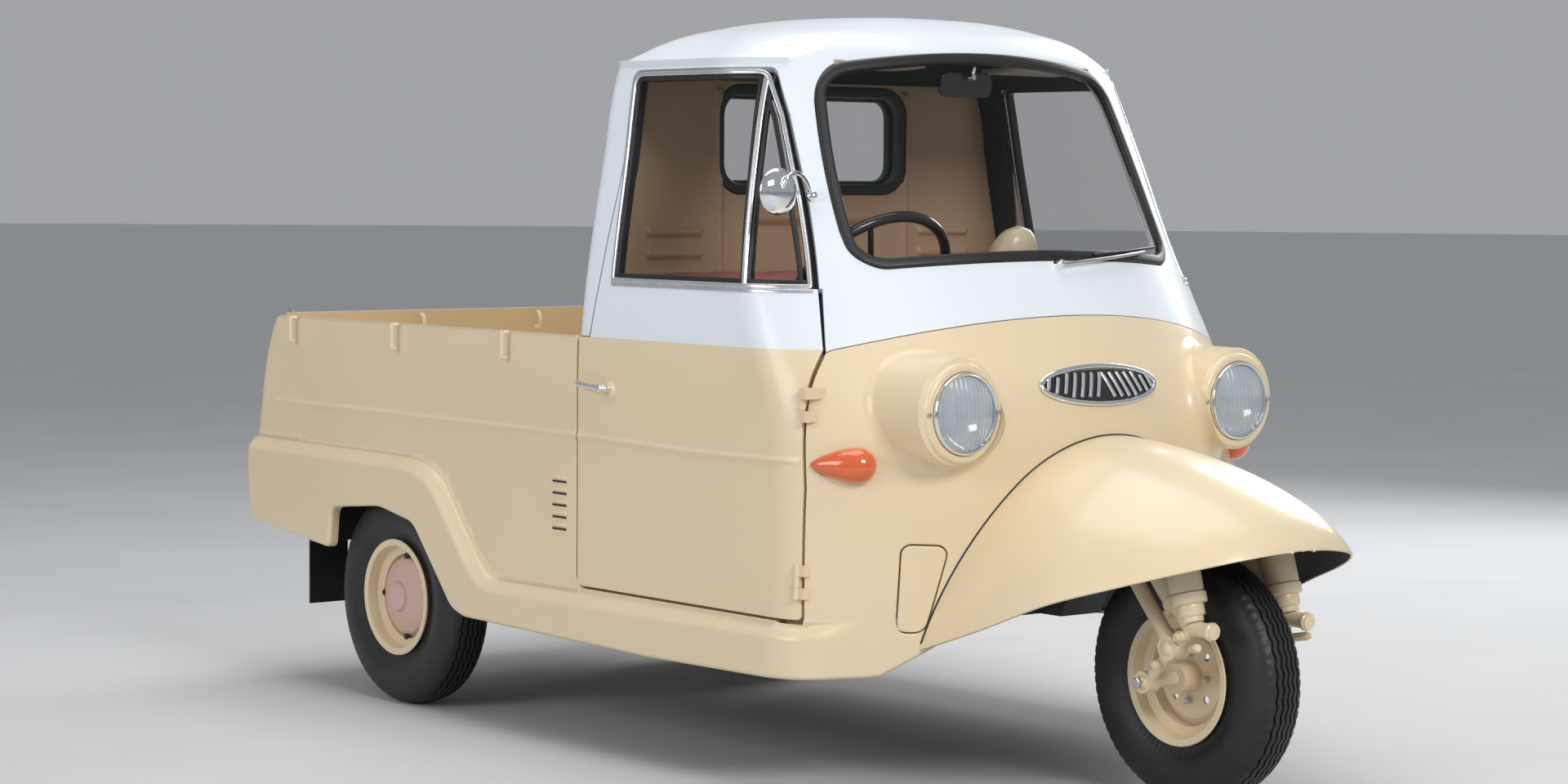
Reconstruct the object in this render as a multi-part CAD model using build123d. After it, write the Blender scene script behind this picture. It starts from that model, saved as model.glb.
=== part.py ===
from build123d import *
import math
import os

# A light three-wheeled pickup: one steered wheel in front, a two-seat cab and an open bed.
# Millimetres. X points to the vehicle's left, the vehicle faces -Y, Z is up, the tyres stand on Z = 0.
# The origin is under the middle of the body's bounding box.

os.makedirs("parts", exist_ok=True)

# ---------------------------------------------------------------- driving dimensions
front_axle_y = -1134.0
wheelbase = 1945.0
rear_axle_y = front_axle_y + wheelbase
tyre_radius = 244.0
tyre_half_width = 65.0
rim_radius = 132.0
rim_half_width = 52.0
bead_radius = 121.0

wall = 28.0
door_wall = 28.0
door_gap = 5.0
seal_width = 22.0
seal_proud = 4.0
glass_thickness = 5.0
seat_clearance = 0.3

body_half_width = 610.0
track_half = body_half_width - 77.0
two_tone_z = 866.0
nose_bottom_z = 240.0
header_z = 1425.0
cab_rear_y = 84.0
cab_rear_radius = 40.0

# The cab's plan outline by height. The front is one flat arc, met by tangent corner arcs.
# columns: height, half width, front line's y, front radius, corner radius
body_sections = [
    (nose_bottom_z, body_half_width, -904.0, 850.0, 150.0),
    (600.0, body_half_width, -905.0, 850.0, 150.0),
    (700.0, body_half_width, -895.0, 850.0, 150.0),
    (800.0, body_half_width, -864.0, 850.0, 150.0),
    (two_tone_z, body_half_width - 2.0, -827.0, 850.0, 150.0),
    (950.0, body_half_width - 10.0, -778.0, 850.0, 152.0),
    (1035.0, body_half_width - 22.0, -730.0, 850.0, 158.0),
    (1240.0, body_half_width - 59.0, -616.0, 920.0, 165.0),
    (1475.0, body_half_width - 98.0, -490.0, 1010.0, 170.0),
]

# The roof's crown by height.
# columns: height, half width, front line's y, front radius, corner radius, rear y, rear corner radius
roof_sections = [
    (header_z, body_half_width - 90.0, -517.0, 1000.0, 170.0, 78.0, 44.0),
    (1457.0, body_half_width - 132.0, -499.0, 1000.0, 190.0, 66.0, 70.0),
    (1484.0, body_half_width - 180.0, -472.0, 1000.0, 200.0, 46.0, 100.0),
    (1510.0, body_half_width - 265.0, -420.0, 900.0, 190.0, 0.0, 130.0),
    (1527.0, body_half_width - 375.0, -365.0, 700.0, 150.0, -55.0, 110.0),
    (1534.0, body_half_width - 500.0, -300.0, 500.0, 80.0, -100.0, 70.0),
]
roof_thickness = 22.0
drip_rail_width = 12.0
drip_rail_height = 8.0

# The painted boundary between the cream body and the white cab rises in an arc across the nose.
boundary_side_z = 862.0
boundary_centre_z = 928.0
boundary_half_chord = body_half_width - 80.0
boundary_rear_y = -600.0

# Door outlines, seen from the side: (y, z).
door_front_line = [(-655.0, 345.0), (-657.0, 600.0), (-648.0, 739.0), (-641.0, two_tone_z)]
door_rear_y = 66.0
door_bottom_z = 345.0
door_corner_radius = 25.0
door_step_y = 25.0
door_belt_z = 982.0
door_belt_rear_y = 7.0
door_belt_front_y = -593.0
window_rear_low = (-31.0, door_belt_z)
window_rear_mid = (-19.0, 1226.0)
window_top_z = 1414.0
window_top_rear_y = -10.0
window_front_line = [(-396.0, window_top_z), (-445.0, 1325.0), (-517.0, 1161.0), (-589.0, door_belt_z)]
window_frame_width = 20.0
vent_post_low_y = -458.0
vent_post_top_y = -384.0
vent_post_width = 22.0
frame_inset = 2.0
frame_depth = 24.0
jamb_relief = 9.0
jamb_relief_depth = 9.0

# Door hinges: the pins stand just outside the skin and lean inwards with it.
hinge_low_x = body_half_width - 9.0
hinge_low_z = 420.0
hinge_high_x = body_half_width - 20.0
hinge_high_z = 762.0
hinge_y = -652.0
hinge_radius = 6.0
hinge_length = 66.0
hinge_play = 0.3
hinge_web_play = 1.5
hinge_web_x = (hinge_low_x - 26.0, hinge_low_x - 5.0)
hinge_web_y = (hinge_y + 2.5, hinge_y + 16.0)
hinge_leaf_x = (hinge_low_x - 51.0, hinge_low_x - 3.0)
hinge_leaf_y = (hinge_y - 18.0, hinge_y - 3.0)
floor_door_room = 84.0

# Front windscreen outline, seen from the front: half widths and heights of its outer seal.
screen_low_half = 438.0
screen_low_side_z = 1016.0
screen_low_centre_z = 1037.0
screen_mid_half = 432.0
screen_mid_z = 1200.0
screen_top_half = 398.0
screen_top_side_z = 1421.0
screen_top_centre_z = 1456.0
screen_corner_radius = 52.0

rear_window_low_z = 1168.0
rear_window_top_z = 1392.0
rear_window_half = 262.0
rear_window_radius = 62.0

# Bed and lower body sides, seen from the side: (y, z).
bed_floor_z = 565.0
bed_floor_thickness = 20.0
bed_rail_z = 868.0
side_wall = 30.0
rail_lip = 6.0
rail_proud = 4.0
flap_y = 1195.0
skirt_proud = 30.0
skirt_inner = body_half_width - 4.0
sill_top_z = 338.0
sill_depth = 50.0
sill_bottom_z = 236.0
sill_front_y = -645.0
sill_rear_y = 440.0
skirt_crease = [(-655.0, 341.0), (386.0, 326.0), (553.0, 509.0), (686.0, 574.0), (1402.0, 579.0)]
tail_line = [(1411.0, 520.0), (1411.0, 460.0), (1389.0, 383.0)]
arch_line = [(1016.0, 341.0), (1005.0, 433.0), (805.0, 453.0), (662.0, 427.0), (504.0, 252.0), (455.0, 239.0)]
skirt_front_bottom = [(-216.0, 227.0), (-655.0, 232.0)]
gate_bottom_z = 576.0
gate_knee = (1366.0, 760.0)
gate_top_y = 1316.0
gate_wall = 28.0
wheel_room = 14.0

# Steering
rake_deg = 23.5
steer_foot_y = -1104.0
steer_tube_radius = 20.0
head_outer_radius = 38.0
running_fit = 0.05
crown_z = 502.0
crown_thickness = 18.0
head_low_z = 521.0
head_top_z = 600.0
fork_half = 130.0

hand_wheel_centre = (-262.0, -452.0, 975.0)
hand_wheel_radius = 186.0
hand_wheel_grip = 11.0
column_length = 300.0

# Chassis
rail_x = 210.0
rail_width = 40.0
rail_low_z = 330.0
rail_top_z = 390.0
chassis_front_y = -760.0
chassis_rear_y = 1375.0
floor_sheet = 14.0
housing_half = 250.0
housing_top_z = 668.0
housing_rear_y = -740.0
housing_sheet = 8.0

# Lamps
lamp_x = 375.0
lamp_z = 750.0
lamp_front_y = -880.0
lamp_radius = 80.0
lens_radius = 72.7
pod_front_radius = 95.0
pod_rear_radius = 112.0
pod_rear_y = -690.0
bucket_depth = 66.0

# Fender over the front wheel.
# columns: y, half width, lower edge z, crown z
fender_sections = [
    (-1411.0, 25.0, 512.0, 518.0),
    (-1396.0, 110.0, 505.0, 535.0),
    (-1368.0, 178.0, 494.0, 561.0),
    (-1315.0, 240.0, 476.0, 594.0),
    (-1220.0, 310.0, 445.0, 634.0),
    (-1100.0, 365.0, 406.0, 667.0),
    (-960.0, 400.0, 348.0, 690.0),
    (-780.0, 415.0, 285.0, 700.0),
]
fender_sheet = 10.0
fender_crown_share = 0.55
fender_crown_drop = 0.225


# ---------------------------------------------------------------- helpers
def export(node, shape):
    export_step(shape, f"parts/{node}.step")


def rod(start, end, radius):
    """A cylinder from one point to another."""
    axis = Vector(*end) - Vector(*start)
    plane = Plane(origin=start, z_dir=axis.normalized())
    return plane * Cylinder(radius, axis.length, align=(Align.CENTER, Align.CENTER, Align.MIN))


def box(low, high):
    """A box between its lowest and highest corners."""
    size = [h - l for l, h in zip(low, high)]
    centre = [(h + l) / 2 for l, h in zip(low, high)]
    return Pos(*centre) * Box(*size)


def side_prism(outline, x_low, x_high, corners=0.0):
    """A prism of a (y, z) outline from x_low to x_high; corners rounds its corners."""
    face = make_face(Polyline(*outline, close=True))
    if corners:
        face = fillet(face.vertices(), corners)
    return Plane.YZ.offset(x_low) * extrude(face, amount=x_high - x_low)


def front_prism(face, y_low, y_high):
    """A prism of an (x, z) face from y_low to y_high."""
    return Plane.XZ.offset(-y_high) * extrude(face, amount=y_high - y_low)


def plan_face(half, front_y, front_r, corner_r, rear_y, rear_r, inset):
    """The cab's plan outline: front arc, corner arcs, straight sides and rounded rear corners."""
    corner_x = half - corner_r
    reach = math.sqrt((front_r - corner_r) ** 2 - corner_x ** 2)
    front_c = front_y + front_r
    corner_y = front_c - reach
    along = math.atan2(corner_x, reach)
    radius = front_r - inset
    small = corner_r - inset
    back = rear_r - inset
    mid = (along + math.pi / 2) / 2
    touch = (radius * math.sin(along), front_c - radius * math.cos(along))
    elbow = (corner_x + small * math.sin(mid), corner_y - small * math.cos(mid))
    side = (half - inset, corner_y)
    turn = (half - inset, rear_y - rear_r)
    diagonal = back * math.sqrt(0.5)
    bend = (half - rear_r + diagonal, rear_y - rear_r + diagonal)
    rear = (half - rear_r, rear_y - inset)

    def left(point):
        return (-point[0], point[1])

    edges = [
        ThreePointArc(left(touch), (0, front_y + inset), touch),
        ThreePointArc(touch, elbow, side),
        Line(side, turn),
        ThreePointArc(turn, bend, rear),
        Line(rear, left(rear)),
        ThreePointArc(left(rear), left(bend), left(turn)),
        Line(left(turn), left(side)),
        ThreePointArc(left(side), left(elbow), left(touch)),
    ]
    return make_face(Curve() + edges)


def section_at(z):
    """The body section interpolated at a height."""
    rows = body_sections
    z_in = min(max(z, rows[0][0]), rows[-1][0])
    for low, high in zip(rows, rows[1:]):
        if z_in <= high[0]:
            share = (z_in - low[0]) / (high[0] - low[0])
            return [a + (b - a) * share for a, b in zip(low[1:], high[1:])]


def body_form(inset, z_low, z_high, rear_y=cab_rear_y, rear_r=cab_rear_radius):
    """The cab's solid form between two heights, drawn in by an inset."""
    heights = [z_low] + [row[0] for row in body_sections if z_low < row[0] < z_high] + [z_high]
    faces = []
    for z in heights:
        faces.append(Pos(0, 0, z) * plan_face(*section_at(z), rear_y, rear_r, inset))
    return loft(faces, ruled=True)


def skin(outer_inset, inner_inset, z_low, z_high, rear_y=cab_rear_y, rear_r=cab_rear_radius):
    """The layer between two insets of the body's form."""
    outer = body_form(outer_inset, z_low, z_high, rear_y, rear_r)
    return outer - body_form(inner_inset, z_low - 1, z_high + 1, rear_y, rear_r)


# ---------------------------------------------------------------- outlines used more than once
side_rear_y = 400.0
door_low_outline = door_front_line + [(door_rear_y, two_tone_z), (door_rear_y, door_bottom_z)]
belt_outline = [
    door_front_line[-1],
    (door_belt_front_y, door_belt_z),
    window_rear_low,
    window_rear_mid,
    (door_belt_rear_y, door_belt_z),
    (door_step_y, two_tone_z),
]
window_outline = [
    window_rear_low,
    window_rear_mid,
    (window_top_rear_y, window_top_z),
    *window_front_line,
]
door_top_outline = [
    door_front_line[-1],
    (door_belt_front_y, door_belt_z),
    *reversed(window_front_line[:-1]),
    (window_top_rear_y, window_top_z),
    window_rear_mid,
    (door_belt_rear_y, door_belt_z),
    (door_step_y, two_tone_z),
]


def grown_face(outline, gap):
    """A (y, z) outline's face, grown by a gap on every side."""
    return offset(make_face(Polyline(*outline, close=True)), amount=gap)


def side_slab(face, x_low, x_high):
    return Plane.YZ.offset(x_low) * extrude(face, amount=x_high - x_low)


def screen_face(inset):
    """The windscreen's outline drawn in by an inset, as an (x, z) face."""
    low = (screen_low_half - inset, screen_low_side_z + inset)
    mid = (screen_mid_half - inset, screen_mid_z)
    top = (screen_top_half - inset, screen_top_side_z - inset)
    face = make_face(Curve() + [
        ThreePointArc((-low[0], low[1]), (0, screen_low_centre_z + inset), low),
        ThreePointArc(low, mid, top),
        ThreePointArc(top, (0, screen_top_centre_z - inset), (-top[0], top[1])),
        ThreePointArc((-top[0], top[1]), (-mid[0], mid[1]), (-low[0], low[1])),
    ])
    return fillet(face.vertices(), screen_corner_radius - inset)


def rear_window_face(inset):
    height = rear_window_top_z - rear_window_low_z
    middle = (rear_window_top_z + rear_window_low_z) / 2
    width = 2 * (rear_window_half - inset)
    return Pos(0, middle) * RectangleRounded(width, height - 2 * inset, rear_window_radius - inset)


def boundary_cut(gap):
    """Everything below the two-tone boundary, lowered by a gap."""
    rise = boundary_centre_z - boundary_side_z
    side = (boundary_half_chord, boundary_side_z - gap)
    wide = (body_half_width + 60, boundary_side_z - gap - rise * 0.2)
    deep = (body_half_width + 60, 0)
    face = make_face(Curve() + [
        ThreePointArc((-side[0], side[1]), (0, boundary_centre_z - gap), side),
        Polyline(side, wide, deep, (-deep[0], 0), (-wide[0], wide[1]), (-side[0], side[1])),
    ])
    return front_prism(face, -1200, boundary_rear_y)


def hinge_point(side, z):
    """A point on a door's hinge axis."""
    share = (z - hinge_low_z) / (hinge_high_z - hinge_low_z)
    return (side * (hinge_low_x + (hinge_high_x - hinge_low_x) * share), hinge_y, z)


def clear_of_doors(shape, radius):
    """A shape less the room that the doors' front edges swing through, round their hinge axes."""
    for side in (-1, 1):
        shape -= rod(hinge_point(side, door_bottom_z - 60), hinge_point(side, door_belt_z + 60), radius)
    return shape


# ---------------------------------------------------------------- wheels
def turned(face, x, y):
    return Pos(x, y, tyre_radius) * revolve(face, axis=Axis.X)


def tyre(x, y):
    half = tyre_half_width
    shoulder = tyre_radius - 14
    bead = rim_half_width - 4
    face = make_face(Curve() + [
        Line((-bead, bead_radius + seat_clearance), (bead, bead_radius + seat_clearance)),
        Line((bead, bead_radius + seat_clearance), (bead, rim_radius + 3)),
        ThreePointArc((bead, rim_radius + 3), (half, (rim_radius + shoulder) / 2 + 4), (half - 12, shoulder)),
        ThreePointArc((half - 12, shoulder), (0, tyre_radius), (12 - half, shoulder)),
        ThreePointArc((12 - half, shoulder), (-half, (rim_radius + shoulder) / 2 + 4), (-bead, rim_radius + 3)),
        Line((-bead, rim_radius + 3), (-bead, bead_radius + seat_clearance)),
    ])
    return turned(face, x, y)


rim_sheet = 4.0
well_radius = 100.0
axle_radius = 10.0
stub_radius = 15.0


def rim_edges(disc_x, hub_radius, hub_end, bore):
    """A drop-centre rim with a dished disc, from the hub's far end round to the disc's outer face.

    The points are (x, radius) about the wheel's centre, and the dish faces -X.
    """
    w = rim_half_width
    return [
        (hub_end, bore), (hub_end, hub_radius), (disc_x + 6, hub_radius), (disc_x + 8, 78),
        (disc_x + 22, well_radius - rim_sheet), (21, well_radius - rim_sheet),
        (27, bead_radius - 2 - rim_sheet), (w, bead_radius - rim_sheet), (w + 2, rim_radius - 2),
        (w, rim_radius), (w - 4, bead_radius), (24, bead_radius - 2), (18, well_radius),
        (-18, well_radius), (-24, bead_radius - 2), (4 - w, bead_radius), (-w, rim_radius),
        (-w - 2, rim_radius - 2), (-w, bead_radius - rim_sheet), (-27, bead_radius - 2 - rim_sheet),
        (-21, well_radius - rim_sheet), (disc_x + 15, well_radius - rim_sheet), (disc_x + 1, 80),
    ]


def rim_holes(rim, x_low, x_high, circle, radius):
    for corner in range(4):
        turn = math.radians(45 + 90 * corner)
        hole = (circle * math.cos(turn), circle * math.sin(turn))
        rim -= rod((x_low, *hole), (x_high, *hole), radius)
    return rim


front_hub_half = 58.0
front_disc_x = -12.0
front_bore = axle_radius + running_fit
front_edges = rim_edges(front_disc_x, 30, front_hub_half, front_bore)
front_edges += [(front_disc_x, 30), (-front_hub_half, 30), (-front_hub_half, front_bore)]
front_rim = revolve(make_face(Polyline(*front_edges, close=True)), axis=Axis.X)
front_rim = rim_holes(front_rim, -40, 40, 58, 8)
export("front_rim", Pos(0, front_axle_y, tyre_radius) * front_rim)
export("front_tyre", tyre(0, front_axle_y))

# Rear rims: the dish faces out, and a domed cap closes the hub over the stub axle.
rear_disc_x = -22.0
rear_hub_inner = 53.0
hub_cap_radius = 46.0
hub_cap_depth = 28.0
stub_bore_depth = 12.0
stub_end_gap = 2.0
bore_end = rear_disc_x - stub_bore_depth
rear_edges = rim_edges(rear_disc_x, 34, rear_hub_inner, stub_radius + running_fit)
rear_edges += [(rear_disc_x, hub_cap_radius)]
cap_start = rear_edges[-1]
cap_ring = (rear_disc_x - 17, 21.0)
cap_tip = (rear_disc_x - hub_cap_depth, 0.0)
rear_face = make_face(Curve() + [
    Polyline(*rear_edges),
    ThreePointArc(cap_start, (rear_disc_x - 12, 37), cap_ring),
    Line(cap_ring, (cap_ring[0] - 5, 18)),
    Line((cap_ring[0] - 5, 18), (cap_tip[0], 12)),
    Line((cap_tip[0], 12), cap_tip),
    Line(cap_tip, (bore_end, 0)),
    Line((bore_end, 0), (bore_end, stub_radius + running_fit)),
    Line((bore_end, stub_radius + running_fit), rear_edges[0]),
])
rear_rim = rim_holes(revolve(rear_face, axis=Axis.X), -60, 20, 66, 6)
for name, side in (("right", -1), ("left", 1)):
    placed = rear_rim if side < 0 else mirror(rear_rim, about=Plane.YZ)
    export(f"rear_rim_{name}", Pos(side * track_half, rear_axle_y, tyre_radius) * placed)
    export(f"rear_tyre_{name}", tyre(side * track_half, rear_axle_y))

# ---------------------------------------------------------------- front fork
rake = math.radians(rake_deg)
steer_dir = (0.0, math.sin(rake), math.cos(rake))


def on_steer_axis(z):
    return (0.0, steer_foot_y + (z - tyre_radius) * math.tan(rake), z)


def off_steer_axis(ahead, z):
    """A point this far ahead of the steering axis, square to it, from the axis height z."""
    _, y, level = on_steer_axis(z)
    return (y - ahead * math.cos(rake), level + ahead * math.sin(rake))


crown_plane = Plane(origin=on_steer_axis(crown_z), x_dir=(1, 0, 0), z_dir=steer_dir)
crown_half = fork_half + 30
crown_ahead = 135.0
crown_behind = 42.0
crown_middle = (crown_behind - crown_ahead) / 2
crown = crown_plane * (
    Pos(0, crown_middle, crown_thickness / 2)
    * Box(2 * crown_half, crown_ahead + crown_behind, crown_thickness)
)
strut_foot = (-1255.0, 360.0)
strut_top = off_steer_axis(108.0, crown_z + 4)
tube_top = off_steer_axis(40.0, crown_z + 4)
tube_foot = (-1180.0, 342.0)
pivot = (-1205.0, 318.0)
axle_line = (front_axle_y, tyre_radius)
fork = crown + rod(on_steer_axis(crown_z + 4), on_steer_axis(head_top_z + 6), steer_tube_radius)
strut_radius = 28.0
for side in (-1, 1):
    x = side * fork_half
    fork += rod((x, *tube_top), (x, *tube_foot), 15)
    fork += rod((x, *tube_foot), (x, *pivot), 17)
    fork += rod((x - 21, *pivot), (x + 21, *pivot), 24)
    fork += rod((x, *pivot), (x, *strut_foot), 14)
    fork += rod((x, *pivot), (x, *axle_line), 12)
    fork += rod((x - 15, *axle_line), (x + 15, *axle_line), 21)
    fork += rod((x, strut_foot[0] + 12, strut_foot[1]), (x, strut_foot[0] - 54, strut_foot[1] - 3), 15)
axle_end = fork_half + 24
hub_gap = 1.0
fork += rod((-axle_end, *axle_line), (axle_end, *axle_line), axle_radius)
for side in (-1, 1):
    fork += rod((side * (58 + hub_gap), *axle_line), (side * fork_half, *axle_line), 15)
strut_dir = Vector(0, strut_foot[0] - strut_top[0], strut_foot[1] - strut_top[1])
strut_length = strut_dir.length
strut_step = strut_dir.normalized()


def on_strut(x, down):
    return (x, strut_top[0] + strut_step.Y * down, strut_top[1] + strut_step.Z * down)


struts = []
for side in (-1, 1):
    x = side * fork_half
    body = rod(on_strut(x, 0), on_strut(x, strut_length - 52), strut_radius)
    body += rod(on_strut(x, strut_length - 68), on_strut(x, strut_length - 50), strut_radius + 3)
    body += rod(on_strut(x, strut_length - 60), on_strut(x, strut_length - 8), 21)
    struts.append((body - fork).solid())
export("fork", fork)
export("fork_struts", Compound(children=struts))

# ---------------------------------------------------------------- chassis
wall_inner = body_half_width - side_wall
bearer_top_z = bed_floor_z - bed_floor_thickness
engine_rear_y = 20.0
shaft_half = 20.0
shaft_room = 12.0
shaft_start = (0, engine_rear_y, 350)
shaft_end = (0, rear_axle_y - 60, tyre_radius + 10)
cross_members = [
    # y, half length, low z, top z
    (chassis_front_y + 20, 230.0, rail_low_z, rail_top_z),
    (-440.0, wall_inner - 35, rail_low_z, rail_top_z),
    (150.0, wall_inner, sill_top_z, bearer_top_z),
    (480.0, wall_inner, sill_top_z, bearer_top_z),
    (rear_axle_y, 400.0, rail_top_z - 20, bearer_top_z),
    (flap_y - 15, wall_inner, sill_top_z, bearer_top_z),
    (chassis_rear_y - 20, wall_inner, rail_top_z, bearer_top_z),
]
frame = Part()
for side in (-1, 1):
    low = (side * rail_x - rail_width / 2, chassis_front_y, rail_low_z)
    high = (side * rail_x + rail_width / 2, chassis_rear_y, rail_top_z)
    frame += box(low, high)
for y, half, low_z, top_z in cross_members:
    frame += box((-half, y - 15, low_z), (half, y + 15, top_z))
neck_half = 55.0
neck_low = off_steer_axis(-20, head_low_z + 12)
neck_top = off_steer_axis(-20, head_top_z - 8)
neck_outline = [
    neck_low,
    neck_top,
    (-868.0, 560.0),
    (-790.0, rail_top_z),
    (chassis_front_y + 20, rail_top_z),
    (chassis_front_y + 20, rail_low_z),
    (-815.0, rail_low_z),
    (-880.0, 470.0),
]
frame += side_prism(neck_outline, -neck_half, neck_half)
head = rod(on_steer_axis(head_low_z), on_steer_axis(head_top_z), head_outer_radius)
frame += head
frame -= rod(shaft_start, shaft_end, shaft_half + shaft_room)
frame -= rod(on_steer_axis(head_low_z - 5), on_steer_axis(head_top_z + 20), steer_tube_radius + running_fit)
export("frame", frame)

engine_low = (-rail_x + rail_width / 2, -330.0, 275.0)
engine_high = (rail_x - rail_width / 2, engine_rear_y, 560.0)
engine = box(engine_low, engine_high)
export("engine_block", engine)

silencer_x = 110.0
pipe_z = 312.0
exhaust = rod((silencer_x, engine_high[1], pipe_z), (silencer_x, 300, pipe_z), 16)
silencer_radius = 48.0
silencer_z = rail_low_z - silencer_radius - 4
exhaust += rod((silencer_x, 230, silencer_z), (silencer_x, 560, silencer_z), silencer_radius)
exhaust += rod((silencer_x, 540, pipe_z), (silencer_x + 24, 1150, pipe_z), 15)
exhaust += box((silencer_x + 10, 380, silencer_z + 20), (engine_high[0], 410, rail_low_z + 12))
exhaust += box((silencer_x + 12, 1060, pipe_z), (engine_high[0], 1090, rail_low_z + 10))
export("exhaust", exhaust)

axle_tube = 35.0
diff_radius = 86.0
diff_half = math.sqrt(diff_radius ** 2 - axle_tube ** 2)
hub_face = track_half - rear_hub_inner
tube_end = hub_face - 2
drum_radius = 88.0
drum_inner = tube_end - 24
drum_outer = tube_end - 8
stub_end = track_half - bore_end - stub_end_gap
half_profile = [
    (diff_half, axle_tube), (drum_inner, axle_tube), (drum_inner, drum_radius), (drum_outer, drum_radius),
    (drum_outer, axle_tube), (tube_end, axle_tube), (tube_end, stub_radius), (stub_end, stub_radius),
    (stub_end, 0),
]
rear_axle_face = make_face(Curve() + [
    Polyline(*half_profile, *[(-x, r) for x, r in reversed(half_profile)]),
    ThreePointArc((-diff_half, axle_tube), (0, diff_radius), (diff_half, axle_tube)),
])
rear_axle = Pos(0, rear_axle_y, tyre_radius) * revolve(rear_axle_face, axis=Axis.X)
spring_low_z = tyre_radius + axle_tube + 2
spring_top_z = spring_low_z + 26
spring_half = 400.0
for side in (-1, 1):
    x = side * rail_x
    pad_low = (x - 30, rear_axle_y - 40, tyre_radius)
    rear_axle += box(pad_low, (x + 30, rear_axle_y + 40, spring_low_z))
export("rear_axle", rear_axle)
export("propeller_shaft", rod(shaft_start, shaft_end, shaft_half) - rear_axle - engine)

springs = []
for side in (-1, 1):
    x = side * rail_x
    low = (x - 22, rear_axle_y - spring_half, spring_low_z)
    high = (x + 22, rear_axle_y + spring_half, spring_top_z)
    leaf = box(low, high)
    for end in (-1, 1):
        y = rear_axle_y + end * (spring_half - 20)
        leaf += box((x - 16, y - 20, spring_low_z + 4), (x + 16, y + 20, rail_low_z))
    springs.append(leaf)
export("leaf_springs", Compound(children=springs))

# ---------------------------------------------------------------- cab floor
room_inset = wall + seat_clearance
floor_low_z = rail_top_z
floor_top_z = floor_low_z + floor_sheet
flange_x = body_half_width - sill_depth
firewall_y = cab_rear_y - wall
seat_box_half = body_half_width - 110.0
seat_box_front_y = -365.0
seat_box_top_z = 600.0
seat_box_sheet = 12.0
floor_room = body_form(room_inset, nose_bottom_z, 800, side_rear_y)
floor_plate = box((-flange_x, -1000, floor_low_z), (flange_x, firewall_y, floor_top_z))
housing_outer = box((-housing_half, -1000, floor_low_z), (housing_half, housing_rear_y, housing_top_z))
housing_inner = box(
    (housing_sheet - housing_half, -1001, floor_low_z - 1),
    (housing_half - housing_sheet, housing_rear_y - housing_sheet, housing_top_z - housing_sheet),
)
cab_floor = floor_plate + housing_outer - housing_inner
cab_floor += box((-seat_box_half, seat_box_front_y, floor_low_z), (seat_box_half, firewall_y, seat_box_top_z))
cab_floor -= box(
    (seat_box_sheet - seat_box_half, seat_box_front_y + seat_box_sheet, floor_low_z - 1),
    (seat_box_half - seat_box_sheet, firewall_y - seat_box_sheet, seat_box_top_z - seat_box_sheet),
)
for side in (-1, 1):
    inner = side * (flange_x - floor_sheet)
    outer = side * flange_x
    low = (min(inner, outer), sill_front_y + 5, sill_bottom_z + 10)
    cab_floor += box(low, (max(inner, outer), firewall_y, floor_top_z))
cab_floor = clear_of_doors(cab_floor & floor_room, floor_door_room)
export("cab_floor", cab_floor)

bulkhead = box((-wall_inner, firewall_y, floor_low_z), (wall_inner, cab_rear_y, two_tone_z))
export("bulkhead", bulkhead)

# ---------------------------------------------------------------- nose panel
door_front_cut = [
    (door_front_line[0][0] - door_gap, 0.0),
    *[(y - door_gap, z) for y, z in door_front_line],
    (door_front_line[-1][0] - door_gap, 1000.0),
    (-1300.0, 1000.0),
    (-1300.0, 0.0),
]
ahead_of_doors = side_prism(door_front_cut, -700, 700)
nose = skin(0, wall, nose_bottom_z, boundary_centre_z + 10, side_rear_y) & ahead_of_doors
nose &= boundary_cut(0)
sill_nose_outline = [(-660.0, 341.0), (-705.0, 340.0), (-742.0, 300.0), (-748.0, 244.0), (-660.0, 244.0)]
nose += skin(-skirt_proud + 4, 2, nose_bottom_z, 345, side_rear_y) & side_prism(sill_nose_outline, -700, 700)
# The wheel gap in the nose, under the fender: half widths and heights from the bottom up.
wheel_gap_line = [(535.0, 200.0), (378.0, 298.0), (345.0, 384.0), (242.0, 384.0), (242.0, 470.0), (160.0, 585.0)]
wheel_gap_outline = [(-half, z) for half, z in wheel_gap_line] + wheel_gap_line[::-1]
nose -= front_prism(make_face(Polyline(*wheel_gap_outline, close=True)), -1000, -600)
core = body_form(wall, nose_bottom_z - 1, boundary_centre_z + 11, side_rear_y)
for side in (-1, 1):
    pod_front = (pod_front_radius, lamp_front_y)
    pod_rear = (pod_rear_radius, pod_rear_y)
    pod_face = make_face(Curve() + [
        Line((0, lamp_front_y), pod_front),
        ThreePointArc(pod_front, (pod_rear_radius - 3, lamp_front_y + 80), pod_rear),
        Line(pod_rear, (0, pod_rear_y)),
        Line((0, pod_rear_y), (0, lamp_front_y)),
    ])
    pod = Pos(side * lamp_x, 0, lamp_z) * revolve(pod_face, axis=Axis.Y)
    nose += pod - core
    bore_end = lamp_front_y + bucket_depth
    nose -= rod((side * lamp_x, lamp_front_y - 5, lamp_z), (side * lamp_x, bore_end, lamp_z), lamp_radius)
export("nose_panel", nose)

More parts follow.
